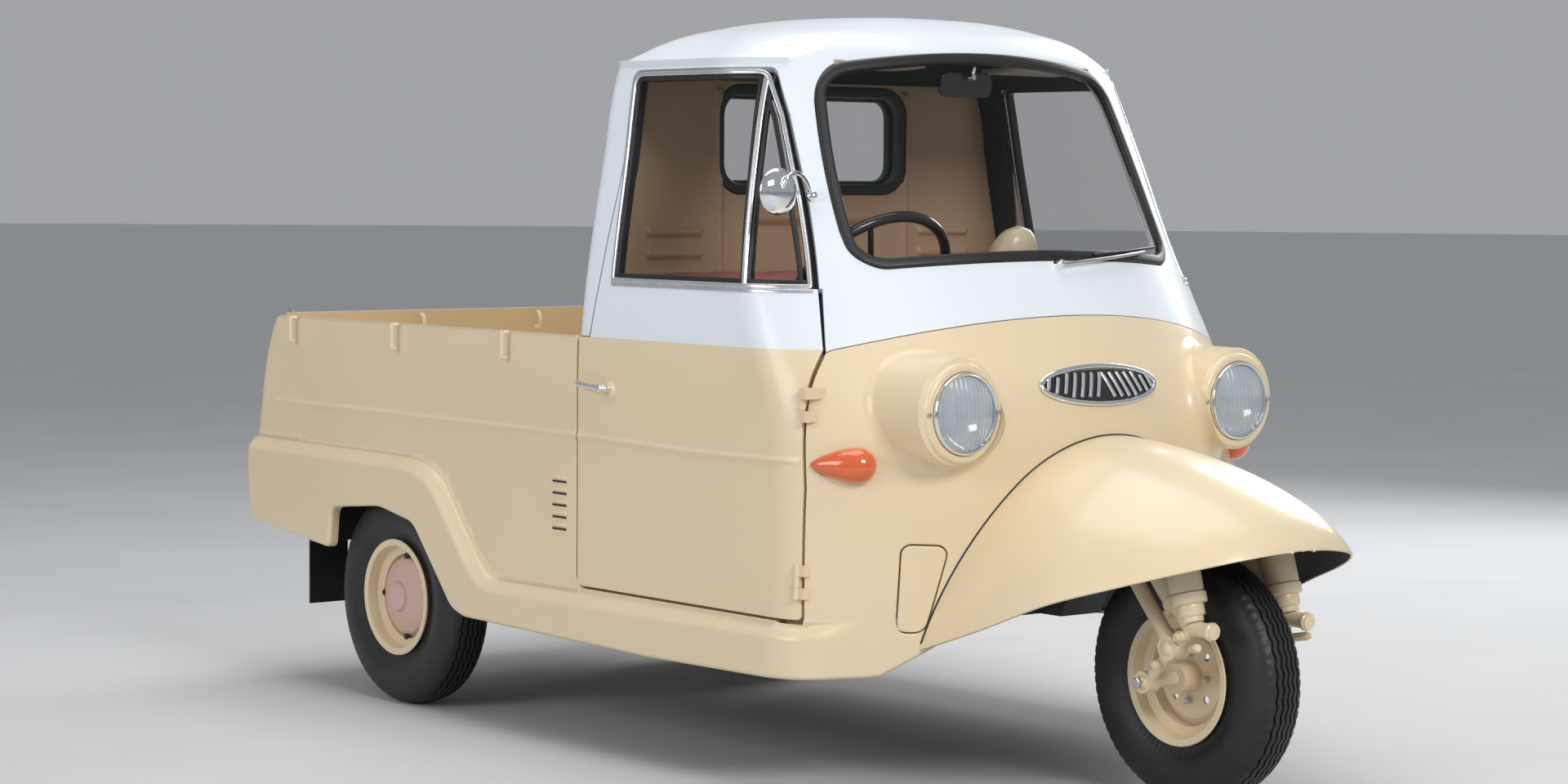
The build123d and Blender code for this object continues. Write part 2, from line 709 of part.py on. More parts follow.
# ---------------------------------------------------------------- cab shell and roof
cab_base_z = boundary_side_z - 4
shell = skin(0, wall, cab_base_z, header_z)
shell -= boundary_cut(0)
keep_cab = box((-700, -1300, two_tone_z), (700, cab_rear_y + 1, header_z))
front_of_cab = side_prism(
    [(-1300, 800), (-1300, header_z + 5), (-560, header_z + 5), (-560, 800)], -700, 700)
shell = (shell & keep_cab) + (shell & front_of_cab)
door_hole = grown_face(door_top_outline, door_gap)
wide_hole = grown_face(door_top_outline, door_gap + jamb_relief)
low_hole = grown_face(door_low_outline, door_gap)
door_holes = side_slab(door_hole, -700, 700) + side_slab(low_hole, -700, 700)
relief = side_slab(wide_hole, -700, 700) & body_form(jamb_relief_depth, cab_base_z - 1, header_z + 1)
relief &= box((-700, -300, two_tone_z), (700, cab_rear_y - wall, header_z + 1))
shell -= door_holes
shell -= relief
shell -= front_prism(screen_face(0), -1000, -300)
shell -= front_prism(rear_window_face(0), 0, 200)
export("cab_shell", shell)

roof_faces = []
cavity_faces = []
for z, half, front_y, front_r, corner_r, rear_y, rear_r in roof_sections:
    roof_faces.append(Pos(0, 0, z) * plan_face(half, front_y, front_r, corner_r, rear_y, rear_r, 0))
    drop = z - roof_thickness
    cavity_faces.append(Pos(0, 0, drop) * plan_face(half, front_y, front_r, corner_r, rear_y, rear_r, 24))
roof = loft(roof_faces, ruled=True) - loft(cavity_faces, ruled=True)
rail_row = roof_sections[0]
rail_face = plan_face(*rail_row[1:], -drip_rail_width)
rail_hole = plan_face(*rail_row[1:], 20)
rail = Pos(0, 0, header_z) * extrude(rail_face - rail_hole, amount=drip_rail_height)
rail -= box((-430, -700, header_z - 1), (430, -200, header_z + 20))
roof += rail
roof -= front_prism(screen_face(0), -1000, -300)
export("roof", roof)


def in_windows(layer, outer_inset, inner_inset=None):
    """A layer's two pieces in the windscreen and the rear window."""
    pieces = []
    for face_at, y_low, y_high in ((screen_face, -1000, -300), (rear_window_face, 0, 200)):
        face = face_at(outer_inset)
        if inner_inset is not None:
            face -= face_at(inner_inset)
        cut = layer & front_prism(face, y_low, y_high)
        pieces.append(max(cut.solids(), key=lambda piece: piece.volume))
    return Compound(children=pieces)


export("window_seals", in_windows(skin(-seal_proud, 14, 950, 1475), 0, seal_width))
export("window_glass", in_windows(skin(4, 4 + glass_thickness, 950, 1475), seal_width))

# ---------------------------------------------------------------- doors
low_face = make_face(Polyline(*door_low_outline, close=True))
bottom_corners = [v for v in low_face.vertices() if v.Y < door_bottom_z + 1]
low_face = fillet(bottom_corners, door_corner_radius)
door_skin = skin(0, door_wall, nose_bottom_z, header_z, side_rear_y)


def knuckle(side, low_z, top_z):
    return rod(hinge_point(side, low_z), hinge_point(side, top_z), hinge_radius)


handle_y = -50.0
handle_z = 765.0
handle_out = 26.0
third = hinge_length / 3
outside = body_form(-seat_clearance, nose_bottom_z, two_tone_z, side_rear_y)
body_hinges = []
for name, side in (("right", -1), ("left", 1)):
    near, far = sorted((side * 700, side * 380))
    lower = door_skin & side_slab(low_face, near, far)
    for mid_z in (hinge_low_z, hinge_high_z):
        web_near, web_far = sorted(side * x for x in hinge_web_x)
        web = box(
            (web_near, hinge_web_y[0], mid_z - third / 2 + hinge_web_play),
            (web_far, hinge_web_y[1], mid_z + third / 2 - hinge_web_play),
        )
        lower += knuckle(side, mid_z - third / 2, mid_z + third / 2)
        lower += web - body_form(0.0, nose_bottom_z, two_tone_z, side_rear_y)
        for end in (-1, 1):
            start = mid_z + end * (third / 2 + hinge_play)
            stop = mid_z + end * hinge_length / 2
            piece = knuckle(side, min(start, stop), max(start, stop))
            leaf_near, leaf_far = sorted(side * x for x in hinge_leaf_x)
            leaf = box(
                (leaf_near, hinge_leaf_y[0], min(start, stop)),
                (leaf_far, hinge_leaf_y[1], max(start, stop)),
            )
            body_hinges.append((piece + leaf) - outside)
    export(f"door_lower_{name}", lower)
    belt_face = make_face(Polyline(*belt_outline, close=True))
    upper = door_skin & side_slab(belt_face, near, far)
    export(f"door_upper_{name}", upper)
    outer_face = make_face(Polyline(*window_outline, close=True))
    sharp = [v for v in outer_face.vertices() if v.Y > window_top_z - 1]
    outer_face = fillet(sharp, 26)
    pane_face = offset(outer_face, amount=-window_frame_width)
    post_face = make_face(Polyline(
        (vent_post_low_y, door_belt_z), (vent_post_low_y - vent_post_width, door_belt_z),
        (vent_post_top_y - vent_post_width, window_top_z), (vent_post_top_y, window_top_z), close=True))
    post_face = post_face & outer_face
    frame_face = (outer_face - pane_face) + post_face
    frame_layer = skin(-frame_inset, frame_depth, 950, 1440, side_rear_y)
    export(f"window_frame_{name}", frame_layer & side_slab(frame_face, near, far))
    pane_layer = skin(10, 10 + glass_thickness, 950, 1440, side_rear_y)
    panes = pane_layer & side_slab(pane_face - post_face, near, far)
    export(f"door_glass_{name}", Compound(children=list(panes.solids())))
    plate_x = side * (body_half_width + seat_clearance)
    grip_x = plate_x + side * handle_out
    handle = rod((plate_x, handle_y, handle_z - 6), (plate_x + side * 8, handle_y, handle_z - 6), 17)
    handle += rod((plate_x + side * 4, handle_y, handle_z), (grip_x, handle_y, handle_z), 8)
    handle += rod((grip_x, handle_y - 12, handle_z - 1), (grip_x, handle_y + 86, handle_z + 4), 7)
    export(f"door_handle_{name}", handle)
export("door_hinges", Compound(children=[s for h in body_hinges for s in h.solids()]))

# ---------------------------------------------------------------- bed
side_front_y = door_rear_y + door_gap
wheel_clear_z = 2 * tyre_radius + wheel_room
wall_outline = [
    (side_front_y, two_tone_z),
    (cab_rear_y + 2, two_tone_z),
    (cab_rear_y + 2, bed_rail_z),
    (gate_top_y, bed_rail_z),
    gate_knee,
    *tail_line,
    (1085.0, 349.0),
    (1085.0, wheel_clear_z),
    (rear_axle_y - tyre_radius - 30, wheel_clear_z),
    (sill_rear_y, 380.0),
    (sill_rear_y, sill_bottom_z),
    (side_front_y, sill_bottom_z),
]
skirt_outline = skirt_crease + tail_line + arch_line + skirt_front_bottom
louvre_y = 130.0
louvre_half = 26.0
louvre_pitch = 25.0
louvre_low_z = 458.0
for name, side in (("right", -1), ("left", 1)):
    near, far = sorted((side * wall_inner, side * body_half_width))
    panel = side_prism(wall_outline, near, far)
    near, far = sorted((side * flange_x, side * body_half_width))
    panel += box((near, sill_front_y, sill_bottom_z), (far, sill_rear_y, sill_top_z))
    near, far = sorted((side * skirt_inner, side * (body_half_width + skirt_proud)))
    panel += side_prism(skirt_outline, near, far)
    near, far = sorted((side * (wall_inner - rail_lip), side * (body_half_width + rail_proud)))
    panel += box((near, cab_rear_y + 2, bed_rail_z - 14), (far, gate_top_y - 14, bed_rail_z + 4))
    for slot in range(5):
        z = louvre_low_z + slot * louvre_pitch
        near, far = sorted((side * (body_half_width - 10), side * (body_half_width + 5)))
        panel -= box((near, louvre_y - louvre_half, z), (far, louvre_y + louvre_half, z + 6))
    export(f"side_panel_{name}", panel)

rear_panel_y = 1382.0
rear_panel_sheet = 18.0
rear_panel_low_z = 390.0
rear_panel_top = gate_bottom_z - 8
rear_panel_back_y = rear_panel_y + rear_panel_sheet
bed_floor = box((-wall_inner, cab_rear_y, bearer_top_z), (wall_inner, rear_panel_y, bed_floor_z))
bed_floor += box((-wall_inner, rear_panel_y, rear_panel_low_z), (wall_inner, rear_panel_back_y, rear_panel_top))
gate_knuckle_y = rear_panel_back_y + 2
gate_knuckle_z = rear_panel_top + 1
gate_knuckle_r = 5.5


def gate_knuckle(x, half, radius=gate_knuckle_r):
    return rod((x - half, gate_knuckle_y, gate_knuckle_z), (x + half, gate_knuckle_y, gate_knuckle_z), radius)


gate_half = wall_inner - rail_lip - door_gap
outer_foot_y = tail_line[0][0] + (gate_knee[0] - tail_line[0][0]) * (gate_bottom_z - 520) / (gate_knee[1] - 520)
gate_outline = [
    (outer_foot_y - gate_wall, gate_bottom_z),
    (gate_knee[0] - gate_wall, gate_knee[1]),
    (gate_top_y - gate_wall, bed_rail_z + 4),
    (gate_top_y, bed_rail_z + 4),
    gate_knee,
    (outer_foot_y, gate_bottom_z),
]
tailgate = side_prism(gate_outline, -gate_half, gate_half)
gate_hinge_x = gate_half - 139.0
for x in (-gate_hinge_x, gate_hinge_x):
    tailgate += gate_knuckle(x, 25)
    tailgate += box((x - 25, outer_foot_y - 4, gate_knuckle_z), (x + 25, gate_knuckle_y + 3, gate_bottom_z + 4))
    bed_floor -= gate_knuckle(x, 26, gate_knuckle_r + 2)
    for end in (-1, 1):
        bed_floor += gate_knuckle(x + end * (50 + hinge_play), 25)
export("tailgate", tailgate)
export("bed_floor", bed_floor)

hook_ys = [1197.0, 757.0, 319.0]
hook_radius = 5.0
hook_out = body_half_width + rail_proud + seat_clearance + hook_radius
hooks = []
for side in (-1, 1):
    for y in hook_ys:
        x = side * (hook_out + 10)
        hook = rod((side * (hook_out - hook_radius), y, bed_rail_z - 4), (x, y, bed_rail_z - 4), hook_radius)
        hook += rod((x, y, bed_rail_z + 1), (x, y, bed_rail_z - 58), hook_radius)
        hook += rod((side * (hook_out + 1), y, bed_rail_z - 58), (x, y, bed_rail_z - 58), hook_radius)
        hooks.append(hook)
export("rope_hooks", Compound(children=hooks))

flap_bottom_z = 190.0
mud_flaps = []
for side in (-1, 1):
    near, far = sorted((side * (wall_inner - 105), side * (wall_inner - 2)))
    low = (near, flap_y + seat_clearance, flap_bottom_z)
    mud_flaps.append(box(low, (far, flap_y + 5, bearer_top_z - seat_clearance)))
export("mud_flaps", Compound(children=mud_flaps))

tail_lamp_z = 470.0
tail_lamp_radius = 38.0
tail_lamps = []
for side in (-1, 1):
    x = side * (wall_inner - 110)
    start = (x, rear_panel_back_y + seat_clearance, tail_lamp_z)
    tail_lamps.append(rod(start, (x, rear_panel_back_y + 10, tail_lamp_z), tail_lamp_radius))
export("tail_lamps", Compound(children=tail_lamps))

# ---------------------------------------------------------------- front fender
def fender_face(half, low_z, top_z, cut):
    """One cross-section: a crown arc and two tangent side arcs over a flat chord, drawn in by the sheet."""
    half -= cut
    top_z -= cut
    shoulder = fender_crown_share * half
    drop = fender_crown_drop * (top_z - low_z)
    crown_r = (shoulder ** 2 + drop ** 2) / (2 * drop)
    slope = math.asin(shoulder / crown_r)
    heading = (math.cos(slope), -math.sin(slope))
    side_arc = TangentArc((shoulder, top_z - drop), (half, low_z), tangent=heading)
    return make_face(Curve() + [
        ThreePointArc((-shoulder, top_z - drop), (0, top_z), (shoulder, top_z - drop)),
        side_arc,
        Line((half, low_z), (-half, low_z)),
        TangentArc((-shoulder, top_z - drop), (-half, low_z), tangent=(-heading[0], heading[1])),
    ])


outer_faces = []
inner_faces = []
for y, half, low_z, top_z in fender_sections:
    section = Plane.XZ.offset(-y)
    outer_faces.append(section * fender_face(half, low_z, top_z, 0))
    if half > 3 * fender_sheet:
        inner_faces.append(section * fender_face(half, low_z - 0.5, top_z, fender_sheet))
fender = loft(outer_faces, ruled=True) - loft(inner_faces, ruled=True)
fender -= body_form(-seat_clearance, nose_bottom_z, 800, side_rear_y)
fender = max(fender.solids(), key=lambda s: s.volume)
export("front_fender", fender)

# ---------------------------------------------------------------- lamps, signals, grille
bulge = 16.0
lens_sphere = (lens_radius ** 2 + bulge ** 2) / (2 * bulge)
lens_half_turn = math.asin(lens_radius / lens_sphere) / 2
lens_mid = (
    lens_sphere * math.sin(lens_half_turn),
    lamp_front_y - bulge + lens_sphere * (1 - math.cos(lens_half_turn)),
)


def lamp_rod(side, start, end, radius):
    """A cylinder on a headlamp's axis, between two depths behind its front edge."""
    x = side * lamp_x
    return rod((x, lamp_front_y + start, lamp_z), (x, lamp_front_y + end, lamp_z), radius)


rings = []
lenses = []
for side in (-1, 1):
    centre = Pos(side * lamp_x, 0, lamp_z)
    back = bucket_depth - seat_clearance
    bucket = lamp_rod(side, 8, back, lamp_radius - seat_clearance)
    collar = lamp_rod(side, -8, 9, lamp_radius - seat_clearance)
    collar -= lamp_rod(side, -9, 8, lens_radius + seat_clearance)
    rings.append(bucket + collar)
    lens_face = make_face(Curve() + [
        Line((0, lamp_front_y + 7), (lens_radius, lamp_front_y + 7)),
        Line((lens_radius, lamp_front_y + 7), (lens_radius, lamp_front_y)),
        ThreePointArc((lens_radius, lamp_front_y), lens_mid, (0, lamp_front_y - bulge)),
        Line((0, lamp_front_y - bulge), (0, lamp_front_y + 7)),
    ])
    lenses.append(centre * revolve(lens_face, axis=Axis.Y))
export("headlamps", Compound(children=rings))
export("headlamp_lenses", Compound(children=lenses))

signal_z = 647.0
signal_tip = (body_half_width - 27.0, -668.0)
signal_nose = (body_half_width - 120.0, -757.0)
signal_radius = 36.0
signal_tip_radius = 6.0
signals = []
for side in (-1, 1):
    tip = Vector(side * signal_tip[0], signal_tip[1], signal_z)
    nose_end = Vector(side * signal_nose[0], signal_nose[1], signal_z)
    length = (nose_end - tip).length
    ball = length - signal_radius
    lean = math.asin((signal_radius - signal_tip_radius) / ball)
    blunt = (0, signal_tip_radius / math.cos(lean))
    meet = (ball - signal_radius * math.sin(lean), signal_radius * math.cos(lean))
    drop_face = make_face(Curve() + [
        Line((0, 0), blunt),
        Line(blunt, meet),
        ThreePointArc(meet, (ball + signal_radius * math.sqrt(0.5), signal_radius * math.sqrt(0.5)), (length, 0)),
        Line((length, 0), (0, 0)),
    ])
    drop = revolve(drop_face, axis=Axis.X)
    where = Plane(origin=tip, x_dir=(nose_end - tip).normalized(), z_dir=(0, 0, 1))
    drop = (where * drop) - body_form(-seat_clearance, nose_bottom_z, 800, side_rear_y)
    signals.append(max(drop.solids(), key=lambda s: s.volume))
export("turn_signals", Compound(children=signals))

grille_z = 792.0
grille_half = 158.0
grille_height = 41.0
grille_rim = 11.0
grille_proud = 9.0
slats_per_side = 7
slat_width = 8.0
slat_lean_deg = 28.0
grille_hole = Pos(0, grille_z) * Ellipse(grille_half - grille_rim, grille_height - grille_rim)
grille_face = Pos(0, grille_z) * Ellipse(grille_half, grille_height) - grille_hole
slats = Sketch()
for side in (-1, 1):
    for slat in range(slats_per_side):
        x = side * (grille_half - grille_rim) * (slat + 0.5) / slats_per_side
        slats += Pos(x, grille_z) * Rot(0, 0, side * slat_lean_deg) * Rectangle(slat_width, 4 * grille_height)
grille_face += slats & grille_hole
grille = skin(-grille_proud, -seat_clearance, 700, 900, side_rear_y) & front_prism(grille_face, -1000, -700)
export("grille", grille)

# ---------------------------------------------------------------- cab fittings
def front_skin_y(x, z):
    """The y of the body's front at a place within the front arc."""
    _, front_y, front_r, _ = section_at(z)
    return front_y + front_r - math.sqrt(front_r ** 2 - x ** 2)


mirror_base = (-463.0, -531.0, 1161.0)
mirror_reach = (-112.0, -22.0, 10.0)
mirror_radius = 46.0
mirror_depth = 20.0
mirror_head = tuple(a + b for a, b in zip(mirror_base, mirror_reach))
mirror_face = make_face(Curve() + [
    Line((0, 0), (mirror_radius, 0)),
    ThreePointArc((mirror_radius, 0), (mirror_radius * 0.7, -0.7 * mirror_depth), (0, -mirror_depth)),
    Line((0, -mirror_depth), (0, 0)),
])
arm_radius = 4.5
arm_start = (mirror_head[0], mirror_head[1] - mirror_depth + 4, mirror_head[2] + 14)
arm_bend = (mirror_head[0] + 26, mirror_head[1] - mirror_depth, mirror_head[2] + 34)
arm_root = (mirror_base[0] + 8, mirror_base[1] + 12, mirror_base[2])
door_mirror = Pos(*mirror_head) * revolve(mirror_face, axis=Axis.Y)
door_mirror += rod(arm_start, arm_bend, arm_radius) + rod(arm_bend, arm_root, arm_radius)
foot_x, foot_y = arm_root[0] - 6, arm_root[1] - 8
door_mirror += rod((foot_x, foot_y, arm_root[2] - 16), (foot_x, foot_y, arm_root[2] + 8), 10)
door_mirror -= body_form(-seat_clearance, nose_bottom_z, header_z)
door_mirror = max(door_mirror.solids(), key=lambda s: s.volume)
export("mirror", door_mirror)

wiper_z = 1026.0
wiper_y = front_skin_y(0, wiper_z)
wiper_pivot = rod((0, wiper_y + 10, wiper_z), (0, wiper_y - 20, wiper_z), 9)
wiper_pivot -= body_form(-seat_clearance, nose_bottom_z, header_z)
arm_end = (300.0, front_skin_y(300, 1052) - 18, 1052.0)
wiper_arm = rod((0, wiper_y - 15, wiper_z), arm_end, 4)
wiper_arm -= body_form(-seal_proud - seat_clearance, nose_bottom_z, header_z)
wiper = max((wiper_pivot + wiper_arm).solids(), key=lambda s: s.volume)
export("wiper", wiper)

wheel_dir = Vector(0, 0.79, 0.61).normalized()
hub = Vector(*hand_wheel_centre) - wheel_dir * 40
hub_plane = Plane(origin=hub, x_dir=(1, 0, 0), z_dir=wheel_dir)
rim_plane = Plane(origin=Vector(*hand_wheel_centre), x_dir=(1, 0, 0), z_dir=wheel_dir)
column_radius = 18.0
shaft_radius = 10.0
hand_wheel = rim_plane * Torus(hand_wheel_radius, hand_wheel_grip)
hand_wheel += hub_plane * Cylinder(24, 44, align=(Align.CENTER, Align.CENTER, Align.MIN))
for spoke in (-115, 5, 125):
    turn = math.radians(spoke)
    tip = rim_plane.from_local_coords(Vector(hand_wheel_radius * math.cos(turn), hand_wheel_radius * math.sin(turn), 0))
    hand_wheel += rod(hub + wheel_dir * 22, tip, 6)
shaft_top = hub + wheel_dir * 18
hand_wheel -= rod(hub - wheel_dir, shaft_top + wheel_dir * 0.5, shaft_radius + running_fit)
export("steering_wheel", hand_wheel)

column_foot = hub - wheel_dir * column_length
column = rod(column_foot, hub - wheel_dir * 6, column_radius) + rod(column_foot, shaft_top, shaft_radius)
gear_x = hand_wheel_centre[0]
gear = box((gear_x - 40, -900, column_foot.Z - 55), (gear_x + 40, column_foot.Y + 30, column_foot.Z + 40))
column += gear
column &= body_form(room_inset, nose_bottom_z, header_z)
export("steering_column", column)

dash_low_z = 905.0
dash_top_z = 985.0
dash_depth = 110.0
dash_end = body_half_width - 142.0
dash_rear_r = 200.0
dash = skin(room_inset, room_inset + dash_depth, dash_low_z, dash_top_z, side_rear_y, dash_rear_r)
dash &= box((-dash_end, -900, dash_low_z), (dash_end, -560, dash_top_z))
export("dashboard", dash)

lever_foot = (-60.0, -520.0)
controls = rod((*lever_foot, floor_top_z), (lever_foot[0] - 30, lever_foot[1] - 20, 690), 7)
controls += Pos(lever_foot[0] - 30, lever_foot[1] - 20, 700) * Sphere(18)
controls += rod((*lever_foot, floor_top_z), (*lever_foot, floor_top_z + 30), 26)
pedals = []
pedal_xs = [-390.0, -290.0, -200.0]
pedal_y = -700.0
pedal_half = 26.0
for x in pedal_xs:
    stem = rod((x, pedal_y + 60, floor_top_z), (x, pedal_y, floor_top_z + 110), 7)
    stem += box(
        (x - pedal_half, pedal_y - 12, floor_top_z + 96),
        (x + pedal_half, pedal_y + 6, floor_top_z + 140),
    )
    pedals.append(stem)
export("controls", Compound(children=[(c - cab_floor).solid() for c in (controls, *pedals)]))

# ---------------------------------------------------------------- seats
cushion_top_z = 715.0
seat_rear_y = firewall_y - seat_clearance
seat_back_foot = 70.0
seat_half = seat_box_half - 5.0
cushion = box(
    (-seat_half, seat_box_front_y - 10, seat_box_top_z + seat_clearance),
    (seat_half, seat_rear_y - 4, cushion_top_z),
)
cushion = fillet(cushion.edges().filter_by(Axis.X).sort_by(Axis.Z)[-2:], 30)
export("seat_cushion", cushion)
back_outline = [
    (seat_rear_y - seat_back_foot - 30, cushion_top_z + seat_clearance),
    (seat_rear_y - seat_back_foot + 8, 975.0),
    (seat_rear_y - seat_back_foot + 40, 1000.0),
    (seat_rear_y - 14, 1000.0),
    (seat_rear_y, 975.0),
    (seat_rear_y, cushion_top_z + seat_clearance),
]
export("seat_back", side_prism(back_outline, -seat_half, seat_half))
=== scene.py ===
import bpy
import bmesh
import math
from collections import namedtuple
from functools import lru_cache
from mathutils import Matrix, Vector, geometry


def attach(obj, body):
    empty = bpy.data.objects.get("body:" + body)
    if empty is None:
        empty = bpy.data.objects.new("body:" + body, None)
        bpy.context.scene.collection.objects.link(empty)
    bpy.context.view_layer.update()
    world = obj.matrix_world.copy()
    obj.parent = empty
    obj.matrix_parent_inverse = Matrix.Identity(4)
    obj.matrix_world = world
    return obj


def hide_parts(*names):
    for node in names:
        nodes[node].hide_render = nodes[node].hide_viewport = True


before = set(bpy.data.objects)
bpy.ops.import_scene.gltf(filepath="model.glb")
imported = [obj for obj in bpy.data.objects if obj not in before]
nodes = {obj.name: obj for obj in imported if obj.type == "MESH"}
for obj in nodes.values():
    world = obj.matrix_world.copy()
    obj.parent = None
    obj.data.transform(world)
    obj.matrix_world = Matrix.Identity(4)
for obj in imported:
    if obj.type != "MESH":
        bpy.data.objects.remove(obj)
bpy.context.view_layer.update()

# Light three-wheeled pickup. Sizes are in millimetres and each mesh is scaled to metres as it is made.
# X points to the vehicle's left, it faces -Y, Z is up.
MM = 0.001
sides = (("right", -1), ("left", 1))


# ---------------------------------------------------------------- mesh helpers
class Build:
    """Points, normals, faces and each face's material number, while a mesh is put together."""

    def __init__(self):
        self.points = []
        self.normals = []
        self.faces = []
        self.looks = []

    def face(self, corners, look=0):
        self.faces.append(tuple(corners))
        self.looks.append(look)

    def add(self, point, normal):
        self.points.append(Vector(point))
        self.normals.append(Vector(normal))
        return len(self.points) - 1

    def grid(self, rows, closed=False, wrap=False, flip=False, look=0):
        """Quads between rows of point indices.

        closed joins each row's ends, wrap joins the last row to the first.
        """
        pairs = list(zip(rows, rows[1:]))
        if wrap:
            pairs.append((rows[-1], rows[0]))
        for low, high in pairs:
            count = len(low)
            for i in range(count if closed else count - 1):
                j = (i + 1) % count
                quad = (low[i], low[j], high[j], high[i])
                self.face(quad[::-1] if flip else quad, look)

    def bar(self, rows, flip=False):
        """Closed rings joined into a bar with both of its ends shut."""
        self.grid(rows, closed=True, flip=flip)
        self.face(rows[0] if flip else rows[0][::-1])
        self.face(rows[-1][::-1] if flip else rows[-1])


def set_piece(obj, materials, body, replaces=()):
    """Dresses a piece in one material, or in (front, back), and says what it rides and stands for."""
    materials = materials if isinstance(materials, tuple) else (materials,)
    for material in materials:
        obj.data.materials.append(material)
    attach(obj, body)
    if replaces:
        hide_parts(*([replaces] if isinstance(replaces, str) else replaces))
    return obj


def finish_mesh(name, points, faces, weld=0.0, sharp_deg=None, normals=None, looks=None):
    """A linked mesh object in metres: shaded smooth, with its own normals or with sharp edges by angle."""
    mesh = bpy.data.meshes.new(name)
    mesh.from_pydata([Vector(p) * MM for p in points], [], faces)
    obj = bpy.data.objects.new(name, mesh)
    bpy.context.scene.collection.objects.link(obj)
    mesh.polygons.foreach_set("use_smooth", [True] * len(mesh.polygons))
    if looks:
        mesh.polygons.foreach_set("material_index", looks)
    if weld:
        shape = bmesh.new()
        shape.from_mesh(mesh)
        layer = None
        if normals:
            layer = shape.verts.layers.float_vector.new("own_normal")
            shape.verts.ensure_lookup_table()
            for vert, normal in zip(shape.verts, normals):
                vert[layer] = normal
        bmesh.ops.remove_doubles(shape, verts=shape.verts, dist=weld * MM)
        bmesh.ops.dissolve_degenerate(shape, edges=shape.edges, dist=0.01 * MM)
        if layer:
            normals = [vert[layer].copy() for vert in shape.verts]
        shape.to_mesh(mesh)
        shape.free()
    if normals:
        mesh.normals_split_custom_set_from_vertices([n.normalized() for n in normals])
    elif sharp_deg:
        mesh.set_sharp_from_angle(angle=math.radians(sharp_deg))
    mesh.update()
    return obj


def catmull(knots, values, t):
    """A smooth curve through values at knots, read at t."""
    last = len(knots) - 1
    t = min(max(t, knots[0]), knots[last])
    i = 0
    while i < last - 1 and t > knots[i + 1]:
        i += 1
    step = knots[i + 1] - knots[i]
    share = (t - knots[i]) / step

    def slope(k):
        if k == 0:
            return (values[1] - values[0]) / (knots[1] - knots[0])
        if k == last:
            return (values[last] - values[last - 1]) / (knots[last] - knots[last - 1])
        before = knots[k] - knots[k - 1]
        after = knots[k + 1] - knots[k]
        rise_in = (values[k] - values[k - 1]) / before
        rise_out = (values[k + 1] - values[k]) / after
        return (rise_in * after + rise_out * before) / (before + after)

    m0 = slope(i) * step
    m1 = slope(i + 1) * step
    a = share * share * share
    b = share * share
    return ((2 * a - 3 * b + 1) * values[i] + (a - 2 * b + share) * m0
            + (3 * b - 2 * a) * values[i + 1] + (a - b) * m1)


def halve(low, high, is_below, rounds):
    """The place between low and high where is_below turns from true to false."""
    for _ in range(rounds):
        middle = (low + high) / 2
        if is_below(middle):
            low = middle
        else:
            high = middle
    return (low + high) / 2


def ramp(x, low, high):
    """A smooth step from 0 at low to 1 at high."""
    t = min(max((x - low) / (high - low), 0.0), 1.0)
    return t * t * (3 - 2 * t)


def arc_through(start, middle, end, count):
    """Points of the circle arc through three points, both ends included."""
    ax, ay = start
    bx, by = middle
    cx, cy = end
    d = 2 * (ax * (by - cy) + bx * (cy - ay) + cx * (ay - by))
    a2, b2, c2 = ax * ax + ay * ay, bx * bx + by * by, cx * cx + cy * cy
    ux = (a2 * (by - cy) + b2 * (cy - ay) + c2 * (ay - by)) / d
    uy = (a2 * (cx - bx) + b2 * (ax - cx) + c2 * (bx - ax)) / d
    radius = math.hypot(ax - ux, ay - uy)
    first = math.atan2(ay - uy, ax - ux)
    turn = math.atan2(cy - uy, cx - ux) - first
    through = (math.atan2(by - uy, bx - ux) - first) % (2 * math.pi)
    turn %= 2 * math.pi
    if through > turn:
        turn -= 2 * math.pi
    return [
        (ux + radius * math.cos(first + turn * i / count), uy + radius * math.sin(first + turn * i / count))
        for i in range(count + 1)
    ]


def even_steps(points, step, closed=True):
    """The polyline divided so that no stretch is longer than a step; its own points stay."""
    result = []
    count = len(points)
    for i in range(count if closed else count - 1):
        a = points[i]
        b = points[(i + 1) % count]
        parts = max(1, math.ceil(math.dist(a, b) / step))
        for k in range(parts):
            share = k / parts
            result.append((a[0] + (b[0] - a[0]) * share, a[1] + (b[1] - a[1]) * share))
    if not closed:
        result.append(points[-1])
    return result


def soft_corners(points, radii, step=8.0, closed=True):
    """A polyline whose corners named in radii {index: radius} are rounded, divided into short steps.

    A single number rounds every corner.
    """
    if not isinstance(radii, dict):
        radii = dict.fromkeys(range(len(points)), radii)
    count = len(points)
    result = []
    for i, point in enumerate(points):
        radius = radii.get(i, 0.0)
        if not radius:
            result.append(point)
            continue
        corner = Vector(point)
        before = Vector(points[i - 1]) - corner
        after = Vector(points[(i + 1) % count]) - corner
        half = before.angle(after) / 2
        reach = min(radius / math.tan(half), 0.49 * before.length, 0.49 * after.length)
        bend = reach * math.tan(half)
        start = corner + before.normalized() * reach
        end = corner + after.normalized() * reach
        middle = (before.normalized() + after.normalized()).normalized()
        centre = corner + middle * (bend / math.sin(half))
        sweep = math.pi - 2 * half
        parts = max(2, math.ceil(sweep * bend / min(step, 5.0)))
        first = math.atan2(*(start - centre).yx)
        turn = math.atan2(*(end - centre).yx) - first
        turn = (turn + math.pi) % (2 * math.pi) - math.pi
        for k in range(parts + 1):
            angle = first + turn * k / parts
            result.append((centre.x + bend * math.cos(angle), centre.y + bend * math.sin(angle)))
    return even_steps(result, step, closed)


def is_counter_clockwise(points):
    total = 0.0
    for (ax, ay), (bx, by) in zip(points, points[1:] + points[:1]):
        total += ax * by - bx * ay
    return total > 0


